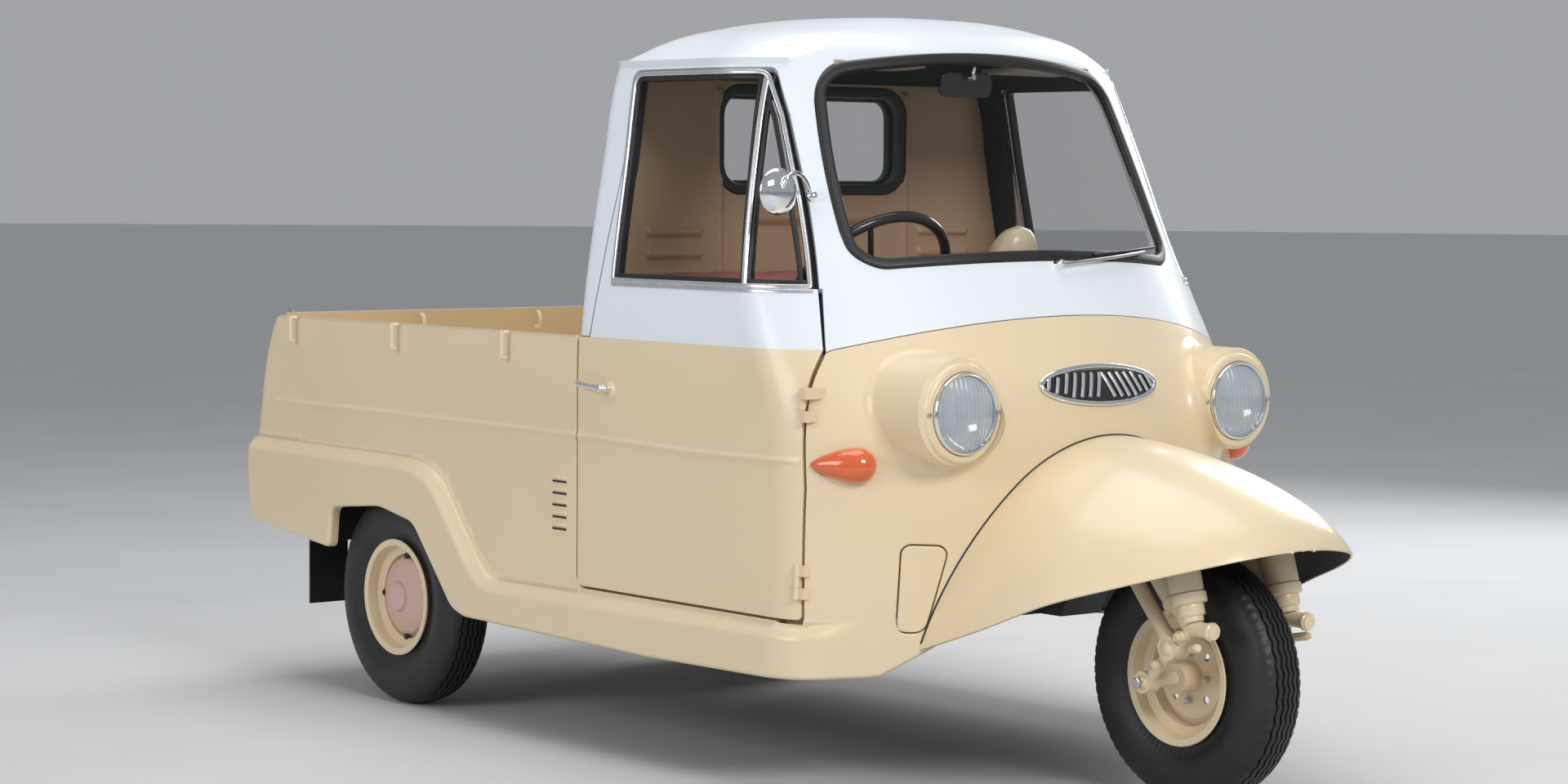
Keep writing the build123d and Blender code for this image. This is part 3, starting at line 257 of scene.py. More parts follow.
def inward(points, rolls):
    """Each outline point's inward direction, which runs along the outline where an edge is open (None)."""
    count = len(points)
    result = []
    for i in range(count):
        before = (Vector(points[i]) - Vector(points[i - 1])).normalized()
        after = (Vector(points[(i + 1) % count]) - Vector(points[i])).normalized()
        normal_before = Vector((-before.y, before.x))
        normal_after = Vector((-after.y, after.x))
        open_before = rolls[i - 1] is None
        open_after = rolls[i] is None
        if open_before and open_after:
            result.append(Vector((0.0, 0.0)))
        elif open_before:
            lean = before.dot(normal_after)
            result.append(-before / max(0.3, -lean) if lean < 0 else before)
        elif open_after:
            result.append(after / max(0.3, after.dot(normal_before)))
        else:
            mean = normal_before + normal_after
            if mean.length < 1e-6:
                mean = normal_before.copy()
            mean.normalize()
            result.append(mean / max(0.5, mean.dot(normal_before)))
    return result


def cdt_fill(loops, creases, pitch):
    """Triangles over the first loop less the other loops, with inner rows a pitch apart."""
    coords = []
    edges = []
    faces = []
    for loop in loops:
        base = len(coords)
        coords += [Vector(p) for p in loop]
        ring = [base + i for i in range(len(loop))]
        faces.append(ring if not faces else ring[::-1])
    for line in creases:
        base = len(coords)
        coords += [Vector(p) for p in line]
        edges += [(base + i, base + i + 1) for i in range(len(line) - 1)]
    cell = pitch * 0.62
    taken = {}
    for point in coords:
        taken.setdefault((math.floor(point.x / cell), math.floor(point.y / cell)), []).append(point)
    xs = [p[0] for p in loops[0]]
    ys = [p[1] for p in loops[0]]
    row = 0
    y = min(ys) + pitch / 2
    while y < max(ys):
        crossings = []
        for loop in loops:
            for (ax, ay), (bx, by) in zip(loop, loop[1:] + loop[:1]):
                if (ay > y) != (by > y):
                    crossings.append(ax + (bx - ax) * (y - ay) / (by - ay))
        crossings.sort()
        for low, high in zip(crossings[::2], crossings[1::2]):
            k = math.ceil((low - min(xs)) / pitch - 0.5 * (row % 2))
            x = min(xs) + pitch * (k + 0.5 * (row % 2))
            while x < high:
                point = Vector((x, y))
                cx, cy = math.floor(x / cell), math.floor(y / cell)
                near = False
                for i in (-1, 0, 1):
                    for j in (-1, 0, 1):
                        for other in taken.get((cx + i, cy + j), ()):
                            if (other - point).length < cell:
                                near = True
                if not near and x > low:
                    coords.append(point)
                x += pitch
        y += pitch * 0.87
        row += 1
    verts, _, tris, origin_verts, _, origin_faces = geometry.delaunay_2d_cdt(coords, edges, faces, 1, 1e-5)
    kept = [tri for tri, origin in zip(tris, origin_faces) if 0 in origin and len(origin) == 1]
    index_of = {}
    for new, olds in enumerate(origin_verts):
        for old in olds:
            index_of[old] = new
    loop_indices = []
    base = 0
    for loop in loops:
        loop_indices.append([index_of[base + i] for i in range(len(loop))])
        base += len(loop)
    return [tuple(v) for v in verts], kept, loop_indices


roll_steps = 4


def panel(build, place, outline, holes=(), rolls=None, creases=(), pitch=14.0, roll=3.0, back_roll=1.5,
          thickness=28.0, flip=False, back_look=1):
    """A closed sheet laid on a surface: a front, a back, and rolled edges round the outline and the holes.

    place(a, b) gives a point of the surface. rolls holds each outline edge's roll radius, None for an open
    edge that another sheet continues. A hole is a list of points, or (points, roll).
    """
    loops = []
    loop_rolls = []
    for number, loop in enumerate([outline, *holes]):
        edge = roll
        if number and isinstance(loop, tuple):
            loop, edge = loop
        loop = list(loop)
        radii = list(rolls) if number == 0 and rolls else [edge] * len(loop)
        if is_counter_clockwise(loop) != (number == 0):
            loop.reverse()
            radii = radii[:-1][::-1] + radii[-1:]
        loops.append(loop)
        loop_rolls.append(radii)

    insets = []
    moves = []
    corner_rolls = []
    for loop, radii in zip(loops, loop_rolls):
        direction = inward(loop, radii)
        at_corner = []
        for i in range(len(loop)):
            beside = [r for r in (radii[i], radii[i - 1]) if r is not None]
            at_corner.append(min(beside) if beside else 0.0)
        insets.append([(p[0] + d.x * r, p[1] + d.y * r) for p, d, r in zip(loop, direction, at_corner)])
        moves.append(direction)
        corner_rolls.append(at_corner)
    verts, tris, loop_indices = cdt_fill(insets, creases, pitch)
    front = []
    back = []
    for a, b in verts:
        point = place(a, b)
        normal = surface_normal(place, a, b, flip)
        front.append(build.add(point, normal))
        back.append(build.add(point - normal * thickness, -normal))
    for tri in tris:
        corners = tri[::-1] if flip else tri
        build.face([front[i] for i in corners])
        build.face([back[i] for i in reversed(corners)], back_look)
    for radii, indices, direction, at_corner in zip(loop_rolls, loop_indices, moves, corner_rolls):
        count = len(indices)
        strips = []
        for i in range(count):
            a, b = verts[indices[i]]
            point = build.points[front[indices[i]]]
            normal = build.normals[front[indices[i]]]
            out = place(a - direction[i].x * 0.5, b - direction[i].y * 0.5) - point
            out -= normal * out.dot(normal)
            out = out.normalized() if out.length > 1e-9 else Vector((0.0, 0.0, 0.0))
            column = [front[indices[i]]]
            r = at_corner[i]
            r_back = min(back_roll, r)
            for k in range(1, roll_steps + 1):
                angle = math.pi / 2 * k / roll_steps
                where = point + out * r * math.sin(angle) - normal * r * (1 - math.cos(angle))
                column.append(build.add(where, normal * math.cos(angle) + out * math.sin(angle)))
            for k in range(roll_steps):
                angle = math.pi / 2 * k / roll_steps
                lift = r - r_back + r_back * math.cos(angle)
                where = point + out * lift - normal * (thickness - r_back * (1 - math.sin(angle)))
                column.append(build.add(where, out * math.cos(angle) - normal * math.sin(angle)))
            column.append(back[indices[i]])
            strips.append(column)
        for i in range(count):
            if radii[i] is None:
                continue
            here = strips[i]
            there = strips[(i + 1) % count]
            for k in range(len(here) - 1):
                quad = (here[k], here[k + 1], there[k + 1], there[k])
                build.face(quad[::-1] if flip else quad)


def outline_of(parts):
    """One closed outline with its edges' rolls, from parts (points, roll) that follow each other."""
    points = []
    rolls = []
    for part_points, part_roll in parts:
        for point in part_points[:-1]:
            points.append(tuple(point))
            rolls.append(part_roll)
    return points, rolls


def sweep(build, centres, profile, closed=False):
    """A profile [(side, up), ...] carried along centres [(point, side axis, up axis), ...]."""
    rows = []
    count = len(profile)
    for point, side_axis, up_axis in centres:
        row = []
        for i, (a, b) in enumerate(profile):
            before = profile[i - 1]
            after = profile[(i + 1) % count]
            normal = side_axis * (after[1] - before[1]) - up_axis * (after[0] - before[0])
            row.append(build.add(point + side_axis * a + up_axis * b, normal.normalized()))
        rows.append(row)
    if closed:
        build.grid(rows, closed=True, wrap=True, flip=True)
    else:
        build.bar(rows, flip=True)


def rounded_profile(width, height, radius, low=0.0):
    """A counter-clockwise rounded rectangle, centred across, from low to low + height."""
    radius = min(radius, width / 2, height / 2)
    steps = 4
    points = []
    for cx, cy, first in (
        (width / 2 - radius, low + radius, -90), (width / 2 - radius, low + height - radius, 0),
        (radius - width / 2, low + height - radius, 90), (radius - width / 2, low + radius, 180),
    ):
        for k in range(steps + 1):
            angle = math.radians(first + 90 * k / steps)
            points.append((cx + radius * math.cos(angle), cy + radius * math.sin(angle)))
    return points


def path_frames(points, up_axes, closed=False):
    """Frames for sweep along 3-D points with an up axis for each."""
    frames = []
    count = len(points)
    for i in range(count):
        before = points[i - 1] if closed or i > 0 else points[i]
        after = points[(i + 1) % count] if closed or i < count - 1 else points[i]
        along = (after - before).normalized()
        up = (up_axes[i] - along * up_axes[i].dot(along)).normalized()
        frames.append((points[i], along.cross(up), up))
    return frames


def surface_normal(place, a, b, flip=False):
    """The outward direction of place(a, b), from points half a millimetre to each side."""
    h = 0.5
    across = place(a + h, b) - place(a - h, b)
    up = place(a, b + h) - place(a, b - h)
    return (up.cross(across) if flip else across.cross(up)).normalized()


def circle(count, across=1.0, up=1.0):
    """Points round an ellipse of these half sizes."""
    turns = [2 * math.pi * k / count for k in range(count)]
    return [(across * math.cos(turn), up * math.sin(turn)) for turn in turns]


def axes_of(axis):
    """A direction and two more square to it, all of length one."""
    axis = Vector(axis).normalized()
    side_axis = axis.orthogonal().normalized()
    return axis, side_axis, axis.cross(side_axis)


def lathe(build, profile, origin, axis, segments):
    """A closed surface of revolution; the profile is (along, radius) from one end to the other."""
    axis, side_axis, other = axes_of(axis)
    origin = Vector(origin)
    rows = []
    for i, (along, radius) in enumerate(profile):
        before = profile[max(i - 1, 0)]
        after = profile[min(i + 1, len(profile) - 1)]
        run = after[0] - before[0]
        rise = after[1] - before[1]
        if radius < 1e-6:
            row = [build.add(origin + axis * along, axis * (-1 if i == 0 else 1))] * segments
        else:
            row = []
            for c, s in circle(segments):
                radial = side_axis * c + other * s
                row.append(build.add(origin + axis * along + radial * radius, radial * run - axis * rise))
        rows.append(row)
    for low, high in zip(rows, rows[1:]):
        for k in range(segments):
            j = (k + 1) % segments
            corners = []
            for index in (low[k], low[j], high[j], high[k]):
                if index not in corners:
                    corners.append(index)
            if len(corners) > 2:
                build.face(corners)


def sharp_piece(name, build, sharp_deg, materials, body, replaces=()):
    """A dressed piece whose edges are sharp above an angle."""
    piece = finish_mesh(name, build.points, build.faces, sharp_deg=sharp_deg)
    return set_piece(piece, materials, body, replaces)


def shell_piece(name, build, materials, body, replaces=(), weld=0.03):
    """A dressed piece that keeps the normals given with its points."""
    piece = finish_mesh(name, build.points, build.faces, weld=weld, normals=build.normals, looks=build.looks)
    return set_piece(piece, materials, body, replaces)


def turned_piece(name, profile, origin, axis, segments, material, body, replaces=(), sharp_deg=32):
    build = Build()
    lathe(build, profile, origin, axis, segments)
    return sharp_piece(name, build, sharp_deg, material, body, replaces)


def panel_piece(name, place, outline, materials, body, replaces=(), **sizes):
    """A dressed piece of a single panel."""
    build = Build()
    panel(build, place, outline, **sizes)
    return shell_piece(name, build, materials, body, replaces)


# ---------------------------------------------------------------- the cab's surface
# columns: height, half width, front line's y, front radius, corner radius, rear y, rear corner radius
body_rows = [
    (180, 610, -903, 850, 150, 84, 40),
    (240, 610, -904, 850, 150, 84, 40),
    (600, 610, -905, 850, 150, 84, 40),
    (700, 610, -895, 850, 150, 84, 40),
    (800, 610, -864, 850, 150, 84, 40),
    (866, 608, -827, 850, 150, 84, 40),
    (950, 600, -778, 850, 152, 84, 40),
    (1035, 588, -730, 850, 158, 84, 40),
    (1240, 551, -616, 920, 165, 84, 40),
    (1390, 526, -536, 985, 169, 82, 42),
    (1425, 519, -517, 1000, 171, 78, 46),
    (1457, 478, -499, 1000, 190, 64, 70),
    (1484, 430, -472, 1000, 200, 44, 100),
    (1509, 345, -420, 900, 190, 0, 130),
    (1526, 235, -365, 700, 150, -55, 110),
    (1533, 110, -300, 500, 80, -100, 70),
]
header_z = 1425.0
two_tone_z = 866.0
skirt_proud = 29.0

# The ring parameter q is the height up to the header and the distance along the roof's rise above it.
row_q = []
for number, row in enumerate(body_rows):
    if row[0] <= header_z:
        row_q.append(float(row[0]))
    else:
        before = body_rows[number - 1]
        row_q.append(row_q[-1] + math.hypot(row[0] - before[0], row[1] - before[1]))
roof_top_q = row_q[-1]
row_columns = list(zip(*body_rows))


Ring = namedtuple("Ring", "z half front_r front_c corner_x corner_y corner_r along rear_y rear_r")


@lru_cache(maxsize=200000)
def ring_at(q):
    """The plan outline at q: its height and the sizes of its front arc, corner arc and sides."""
    z, half, front_y, front_r, corner_r, rear_y, rear_r = (
        catmull(row_q, column, q) for column in row_columns)
    corner_x = half - corner_r
    reach = math.sqrt((front_r - corner_r) ** 2 - corner_x ** 2)
    front_c = front_y + front_r
    along = math.atan2(corner_x, reach)
    return Ring(z, half, front_r, front_c, corner_x, front_c - reach, corner_r, along, rear_y, rear_r)


def ring_lengths(ring):
    """Lengths of the front arc, corner arc, side, rear corner arc and half of the rear."""
    return (
        ring.front_r * ring.along,
        ring.corner_r * (math.pi / 2 - ring.along),
        ring.rear_y - ring.rear_r - ring.corner_y,
        ring.rear_r * math.pi / 2,
        ring.half - ring.rear_r,
    )


def half_girth(q):
    return sum(ring_lengths(ring_at(q)))


def ring_point(ring, s):
    """Plan point and outward plan normal at the arc length s from the front's middle, for s >= 0."""
    front, corner, side, rear_corner, _ = ring_lengths(ring)
    if s < front:
        angle = s / ring.front_r
        sin, cos = math.sin(angle), math.cos(angle)
        return ring.front_r * sin, ring.front_c - ring.front_r * cos, sin, -cos
    s -= front
    if s < corner:
        angle = ring.along + s / ring.corner_r
        sin, cos = math.sin(angle), math.cos(angle)
        return ring.corner_x + ring.corner_r * sin, ring.corner_y - ring.corner_r * cos, sin, -cos
    s -= corner
    if s < side:
        return ring.half, ring.corner_y + s, 1.0, 0.0
    s -= side
    inner_x = ring.half - ring.rear_r
    if s < rear_corner:
        angle = s / ring.rear_r
        sin, cos = math.sin(angle), math.cos(angle)
        return inner_x + ring.rear_r * cos, ring.rear_y - ring.rear_r + ring.rear_r * sin, cos, sin
    return inner_x - (s - rear_corner), ring.rear_y, 0.0, 1.0


def s_at_x(q, x):
    """The arc length where the front reaches x."""
    ring = ring_at(q)
    if x <= ring.front_r * math.sin(ring.along):
        return ring.front_r * math.asin(x / ring.front_r)
    angle = math.asin(min(1.0, (x - ring.corner_x) / ring.corner_r))
    return ring.front_r * ring.along + ring.corner_r * (angle - ring.along)


def s_at_y(q, y):
    """The arc length where the corner or side reaches y."""
    ring = ring_at(q)
    front, corner = ring_lengths(ring)[:2]
    if y >= ring.corner_y:
        return front + corner + y - ring.corner_y
    angle = math.acos(min(1.0, (ring.corner_y - y) / ring.corner_r))
    if angle >= ring.along:
        return front + ring.corner_r * (angle - ring.along)
    return ring.front_r * math.acos(min(1.0, (ring.front_c - y) / ring.front_r))


def q_at_z(z):
    if z <= 1390:
        return z
    return halve(1380.0, roof_top_q, lambda q: ring_at(q).z < z, 40)


def from_front(x, z):
    q = q_at_z(z)
    return s_at_x(q, x), q


def from_side(y, z):
    q = q_at_z(z)
    return s_at_y(q, y), q


# ---------------------------------------------------------------- pressed shapes in the skin
# The waist bead runs along door and side; columns: y, z
bead_line = [(-656, 653), (-322, 651), (81, 660), (1330, 667)]
bead_half = 9.0
bead_proud = 4.0
# The skirt stands out below this crease; columns: y, z
crease_line = [(-760, 345), (-655, 337), (336, 328), (362, 329), (384, 334), (404, 345), (422, 360),
               (442, 380), (540, 494), (566, 523), (600, 545), (650, 562), (710, 570), (1402, 576), (1500, 577)]
crease_width = 30.0
skirt_fade_y = (-748.0, -640.0)


def line_z(line, y):
    for (ay, az), (by, bz) in zip(line, line[1:]):
        if y <= by:
            return az + (bz - az) * max(0.0, (y - ay) / (by - ay))
    return line[-1][1]


def crease_depth(y, z):
    """How far a side point lies below the skirt's crease, measured square to it."""
    best = 1e9
    for (ay, az), (by, bz) in zip(crease_line, crease_line[1:]):
        run = by - ay
        rise = bz - az
        share = min(max(((y - ay) * run + (z - az) * rise) / (run * run + rise * rise), 0.0), 1.0)
        best = min(best, math.hypot(y - ay - share * run, z - az - share * rise))
    return best if z < line_z(crease_line, y) else -best


def bead_height(y, z):
    off = abs(z - line_z(bead_line, y)) / bead_half
    if off >= 1:
        return 0.0
    ends = ramp(y, bead_line[0][0] + 6, bead_line[0][0] + 30) * (1 - ramp(y, 1290, 1330))
    return bead_proud * ends * (1 - off * off) ** 2


def skirt_height(y, z):
    share = min(max(crease_depth(y, z) / crease_width, 0.0), 1.0)
    round_over = math.sqrt(1 - (1 - share) ** 2) * 0.75 + ramp(share, 0, 1) * 0.25
    return skirt_proud * round_over * ramp(y, *skirt_fade_y)


def pressed(y, z):
    """How far the pressed shapes stand out of the plain side at (y, z)."""
    if z > 700:
        return 0.0
    return bead_height(y, z) + (skirt_height(y, z) if z < 590 else 0.0)


# The bed side's rear edge; columns: z, y
tail_rows = [(180, 1389), (383, 1389), (430, 1404), (490, 1411), (520, 1411), (640, 1392), (760, 1366),
             (830, 1339), (900, 1300)]
tail_zs, tail_ys = zip(*tail_rows)
tail_radius = 36.0


@lru_cache(maxsize=20000)
def tail_y(z):
    return catmull(tail_zs, tail_ys, z)


def on_cab(side, wraps=True):
    """The body's surface as a function of (s, q) on one side.

    wraps takes it round the cab's rear corner. Without it the surface runs straight back along the bed to
    the tail, with the pressed shapes.
    """

    def place(s, q):
        ring = ring_at(round(q, 3))
        sign = side
        if s < 0:
            s, sign = -s, -side
        if wraps:
            x, y, _, _ = ring_point(ring, s)
            return Vector((sign * x, y, ring.z))
        straight = sum(ring_lengths(ring)[:2])
        if s < straight:
            x, y, nx, ny = ring_point(ring, s)
            lift = pressed(y, ring.z)
            return Vector((sign * (x + nx * lift), y + ny * lift, ring.z))
        y = ring.corner_y + s - straight
        lift = pressed(y, ring.z)
        turn_start = tail_y(round(ring.z, 2)) - tail_radius
        turn = max(0.0, y - turn_start) / tail_radius if y > 1200 else 0.0
        x = ring.half + lift
        if turn:
            x = ring.half - tail_radius * (1 - math.cos(turn)) + lift * math.cos(turn)
            y = turn_start + tail_radius * math.sin(turn)
        return Vector((sign * x, y, ring.z))

    return place


def nose_y(x, z):
    """The front's y at (x, z)."""
    ring = ring_at(round(q_at_z(z), 3))
    x = abs(x)
    if x <= ring.front_r * math.sin(ring.along):
        return ring.front_c - math.sqrt(ring.front_r ** 2 - x ** 2)
    return ring.corner_y - math.sqrt(max(0.0, ring.corner_r ** 2 - (x - ring.corner_x) ** 2))


def lifted(place, height, flip=False):
    """A surface that lies a height above another one."""
    return lambda a, b: place(a, b) + surface_normal(place, a, b, flip) * height


def side_flat(points):
    """(y, z) points as (s, q)."""
    return [from_side(y, z) for y, z in points]


def front_flat(points):
    """(x, z) points as (s, q)."""
    return [from_front(x, z) for x, z in points]


# ---------------------------------------------------------------- materials
def new_material(name, color, roughness, metallic=0.0, coat=0.0):
    material = bpy.data.materials.new(name)
    material.use_nodes = True
    tree = material.node_tree
    shader = tree.nodes["Principled BSDF"]
    for socket, value in (("Base Color", (*color, 1.0)), ("Roughness", roughness), ("Metallic", metallic),
                          ("Coat Weight", coat), ("Coat Roughness", 0.14)):
        shader.inputs[socket].default_value = value
    return material, tree, shader


def noise_node(tree, scale, detail=3.0, roughness=0.5):
    place = tree.nodes.new("ShaderNodeTexCoord")
    node = tree.nodes.new("ShaderNodeTexNoise")
    node.inputs["Scale"].default_value = scale
    node.inputs["Detail"].default_value = detail
    node.inputs["Roughness"].default_value = roughness
    tree.links.new(place.outputs["Object"], node.inputs["Vector"])
    return node


def noise_ramp(tree, shader, scale, dark, light, span=(0.0, 1.0)):
    """The base colour moves between two tones with a noise."""
    noise = noise_node(tree, scale)
    tones = tree.nodes.new("ShaderNodeValToRGB")
    for element, where, tone in zip(tones.color_ramp.elements, span, (dark, light)):
        element.position = where
        element.color = (*tone, 1.0)
    tree.links.new(noise.outputs["Fac"], tones.inputs["Fac"])
    tree.links.new(tones.outputs["Color"], shader.inputs["Base Color"])


def vary_color(tree, shader, color, spread, scale):
    """The base colour drifts by a spread between a darker and a lighter tone."""
    dark = [c * (1 - spread) for c in color]
    light = [min(1.0, c * (1 + spread)) for c in color]
    noise_ramp(tree, shader, scale, dark, light, (0.35, 0.65))


def vary_roughness(tree, shader, low, high, scale):
    noise = noise_node(tree, scale, 4.0, 0.6)
    span = tree.nodes.new("ShaderNodeMapRange")
    span.inputs["To Min"].default_value = low
    span.inputs["To Max"].default_value = high
    tree.links.new(noise.outputs["Fac"], span.inputs["Value"])
    tree.links.new(span.outputs["Result"], shader.inputs["Roughness"])


def add_bump(tree, shader, height, strength, distance):
    bump = tree.nodes.new("ShaderNodeBump")
    bump.inputs["Strength"].default_value = strength
    bump.inputs["Distance"].default_value = distance
    tree.links.new(height, bump.inputs["Height"])
    tree.links.new(bump.outputs["Normal"], shader.inputs["Normal"])


def paint(name, color, gloss=0.34, spread=0.02, coat=0.4):
    """Glossy enamel with a faint orange peel and slight drift in tone and gloss."""
    material, tree, shader = new_material(name, color, gloss, coat=coat)
    vary_color(tree, shader, color, spread, 3.0)
    vary_roughness(tree, shader, gloss - 0.05, gloss + 0.07, 9.0)
    peel = noise_node(tree, 260.0, 2.0)
    add_bump(tree, shader, peel.outputs["Fac"], 0.05, 0.0006)
    return material


def rough_coat(name, color, roughness, spread, grain_scale, grain_strength):
    """A matt or cast surface with grain."""
    material, tree, shader = new_material(name, color, roughness)
    vary_color(tree, shader, color, spread, 14.0)
    grain = noise_node(tree, grain_scale, 6.0, 0.65)
    add_bump(tree, shader, grain.outputs["Fac"], grain_strength, 0.0008)
    return material


def metal(name, color, roughness):
    material, tree, shader = new_material(name, color, roughness, metallic=1.0)
    vary_color(tree, shader, color, 0.04, 30.0)
    vary_roughness(tree, shader, max(0.02, roughness - 0.03), roughness + 0.05, 60.0)
    return material


def clear_glass(name, tint, alpha, specular):
    """Thin glass: mostly see-through, with the sky's gloss on it and a trace of streaks."""
    material, tree, shader = new_material(name, tint, 0.02)
    shader.inputs["IOR"].default_value = 1.45
    shader.inputs["Alpha"].default_value = alpha
    shader.inputs["Specular IOR Level"].default_value = specular
    vary_roughness(tree, shader, 0.01, 0.05, 6.0)
    return material


def fluted():
    """Lamp glass with upright flutes and a soft change of tone."""
    material, tree, shader = new_material("fluted_lamp_glass", (0.62, 0.70, 0.76), 0.08, coat=0.6)
    shader.inputs["Alpha"].default_value = 0.55
    place = tree.nodes.new("ShaderNodeTexCoord")
    wave = tree.nodes.new("ShaderNodeTexWave")
    wave.wave_type = "BANDS"
    wave.bands_direction = "X"
    wave.inputs["Scale"].default_value = 28.0
    wave.inputs["Distortion"].default_value = 0.4
    tree.links.new(place.outputs["Object"], wave.inputs["Vector"])
    add_bump(tree, shader, wave.outputs["Fac"], 0.7, 0.002)
    noise_ramp(tree, shader, 22.0, (0.40, 0.47, 0.52), (0.78, 0.84, 0.88))
    return material


cream = paint("cream_enamel", (0.79, 0.64, 0.425))
# A darker, duller copy of the cream for inner faces, door jambs, dashboard and bulkhead; its darker tone is
# painted shade.
dull_shaded_cream = paint("cream_inside_painted_shade", (0.62, 0.47, 0.30), gloss=0.42, coat=0.25)
tan = paint("tan_lining", (0.55, 0.36, 0.21), gloss=0.45, coat=0.2)
hub_pink = paint("hub_enamel", (0.66, 0.45, 0.38), gloss=0.4)
white = paint("bluish_white_enamel", (0.78, 0.83, 0.88))
# Black plastic; under the louvre hoods the same black is painted shade in the slots.
black_plastic = paint("black_plastic", (0.012, 0.012, 0.013), gloss=0.25, spread=0.1, coat=0.5)
amber = paint("amber_plastic", (0.72, 0.13, 0.03), gloss=0.12, spread=0.06, coat=1.0)
red_plastic = paint("red_plastic", (0.50, 0.012, 0.01), gloss=0.15, spread=0.06, coat=1.0)
# columns: name, colour, roughness, spread of the colour, grain's scale, grain's strength
rubber = rough_coat("black_rubber", (0.012, 0.012, 0.013), 0.42, 0.15, 420.0, 0.08)
tyre_rubber = rough_coat("tyre_rubber", (0.014, 0.014, 0.015), 0.48, 0.2, 520.0, 0.12)
chassis_black = rough_coat("chassis_black", (0.03, 0.03, 0.032), 0.5, 0.2, 180.0, 0.2)
cast_iron = rough_coat("cast_iron", (0.20, 0.20, 0.20), 0.6, 0.15, 240.0, 0.45)
exhaust_coat = rough_coat("heat_dulled_steel", (0.09, 0.075, 0.065), 0.6, 0.3, 120.0, 0.3)
# The headliner's black is painted shade over the white shell's inside, which lies in deep shadow.
painted_shade_liner = rough_coat("painted_shade_headliner", (0.018, 0.016, 0.015), 0.85, 0.15, 300.0, 0.3)
seat_vinyl = rough_coat("seat_vinyl", (0.50, 0.20, 0.15), 0.42, 0.05, 380.0, 0.25)
visor_cloth = rough_coat("visor_vinyl", (0.36, 0.33, 0.28), 0.7, 0.1, 300.0, 0.3)
chrome = metal("chrome", (0.82, 0.83, 0.85), 0.06)
satin_trim = metal("satin_trim", (0.80, 0.81, 0.83), 0.26)
bright_silver = metal("bright_silver", (0.86, 0.87, 0.88), 0.22)
dull_steel = metal("dull_steel", (0.55, 0.55, 0.56), 0.30)
window_glass_look = clear_glass("window_glass", (0.03, 0.04, 0.04), 0.07, 0.9)
lens_glass_look = clear_glass("lens_glass", (0.85, 0.90, 0.95), 0.22, 0.35)
fluted_glass = fluted()


# ---------------------------------------------------------------- outlines
# Door and window outlines seen from the side; columns: y, z
door_front = [(-655, 345), (-657, 600), (-648, 739), (-641, 866)]
belt_front = (-593, 982)
window_front = [(-589, 982), (-517, 1161), (-445, 1325), (-396, 1414)]
window_rear = [(-10, 1414), (-19, 1226), (-31, 982)]
door_rear_y = 66.0
door_step = (25, 866)
belt_rear = (7, 982)
paint_gap = 1.2
# The paint's edge across the nose is a circle arc.
boundary_top_z = 928.0
boundary_rise = 66.0
boundary_half = 530.0
boundary_r = (boundary_half ** 2 + boundary_rise ** 2) / (2 * boundary_rise)


def boundary_z(x):
    return boundary_top_z - boundary_r + math.sqrt(boundary_r ** 2 - x ** 2)


def screen_outline(inset):
    """Half of the windscreen's outline, from its top middle round to its bottom middle, as (x, z)."""
    low = (438 - inset, 1016 + inset)
    mid = (433 - inset, 1200)
    top = (398 - inset, 1421 - inset)
    upper = arc_through((-top[0], top[1]), (0, 1456 - inset), top, 40)[20:]
    flank = arc_through(top, mid, low, 16)
    lower = arc_through(low, (0, 1037 + inset), (-low[0], low[1]), 40)[:21]
    points = upper[:-1] + flank[:-1] + lower
    radius = 54 - inset
    return cut_corner(cut_corner(points, top, radius), low, radius)


def cut_corner(points, corner, radius):
    """Rounds one corner of an open dense line, walking back and on from it by about the radius."""
    index = min(range(len(points)), key=lambda i: math.dist(points[i], corner))
    tip = Vector(points[index])
    before = index
    while before > 0 and (Vector(points[before]) - tip).length < radius:
        before -= 1
    after = index
    while after < len(points) - 1 and (Vector(points[after]) - tip).length < radius:
        after += 1
    start, end = Vector(points[before]), Vector(points[after])
    hand = 0.56
    handle_a = start + (tip - start) * hand
    handle_b = end + (tip - end) * hand
    bend = []
    for k in range(1, 12):
        t = k / 12
        bend.append(tuple(start * (1 - t) ** 3 + handle_a * 3 * t * (1 - t) ** 2
                          + handle_b * 3 * t * t * (1 - t) + end * t ** 3))
    return points[:before + 1] + bend + points[after:]


rear_window_half = 262.0
rear_window_z = (1168.0, 1392.0)
rear_window_radius = 62.0


def rear_window_outline(inset):
    """Half of the rear window's outline, from its bottom middle round to its top middle, as (x, z)."""
    half = rear_window_half - inset
    low, high = rear_window_z[0] + inset, rear_window_z[1] - inset
    radius = rear_window_radius - inset
    return soft_corners([(0, low), (half, low), (half, high), (0, high)], {1: radius, 2: radius}, closed=False)


def centre_line(q_low, q_high, at_rear):
    """A line up the middle of the front or the rear, as (s, q)."""
    count = max(2, math.ceil(abs(q_high - q_low) / 12))
    heights = [q_low + (q_high - q_low) * k / count for k in range(count + 1)]
    return [(half_girth(q) if at_rear else 0.0, q) for q in heights]


def paint_edge(corner, z_shift, inwards=False):
    """The line between cream and white across half of the nose, out to a door's corner or back, as (s, q)."""
    s_end, q_end = from_side(*corner)
    x_end = ring_point(ring_at(q_end), s_end)[0]
    xs = [x_end * (1 - k / 48) for k in range(1, 49)] if inwards else [x_end * k / 48 for k in range(48)]
    line = [from_front(x, boundary_z(x) + z_shift) for x in xs]
    return [(s_end, q_end)] + line if inwards else line + [(s_end, q_end)]


# ---------------------------------------------------------------- white cab shell and roof
shell_wall = 26.0
top_ring_steps = 40


def top_ring():
    girth = half_girth(roof_top_q)
    return [(girth * (1 - k / top_ring_steps), roof_top_q) for k in range(top_ring_steps + 1)]


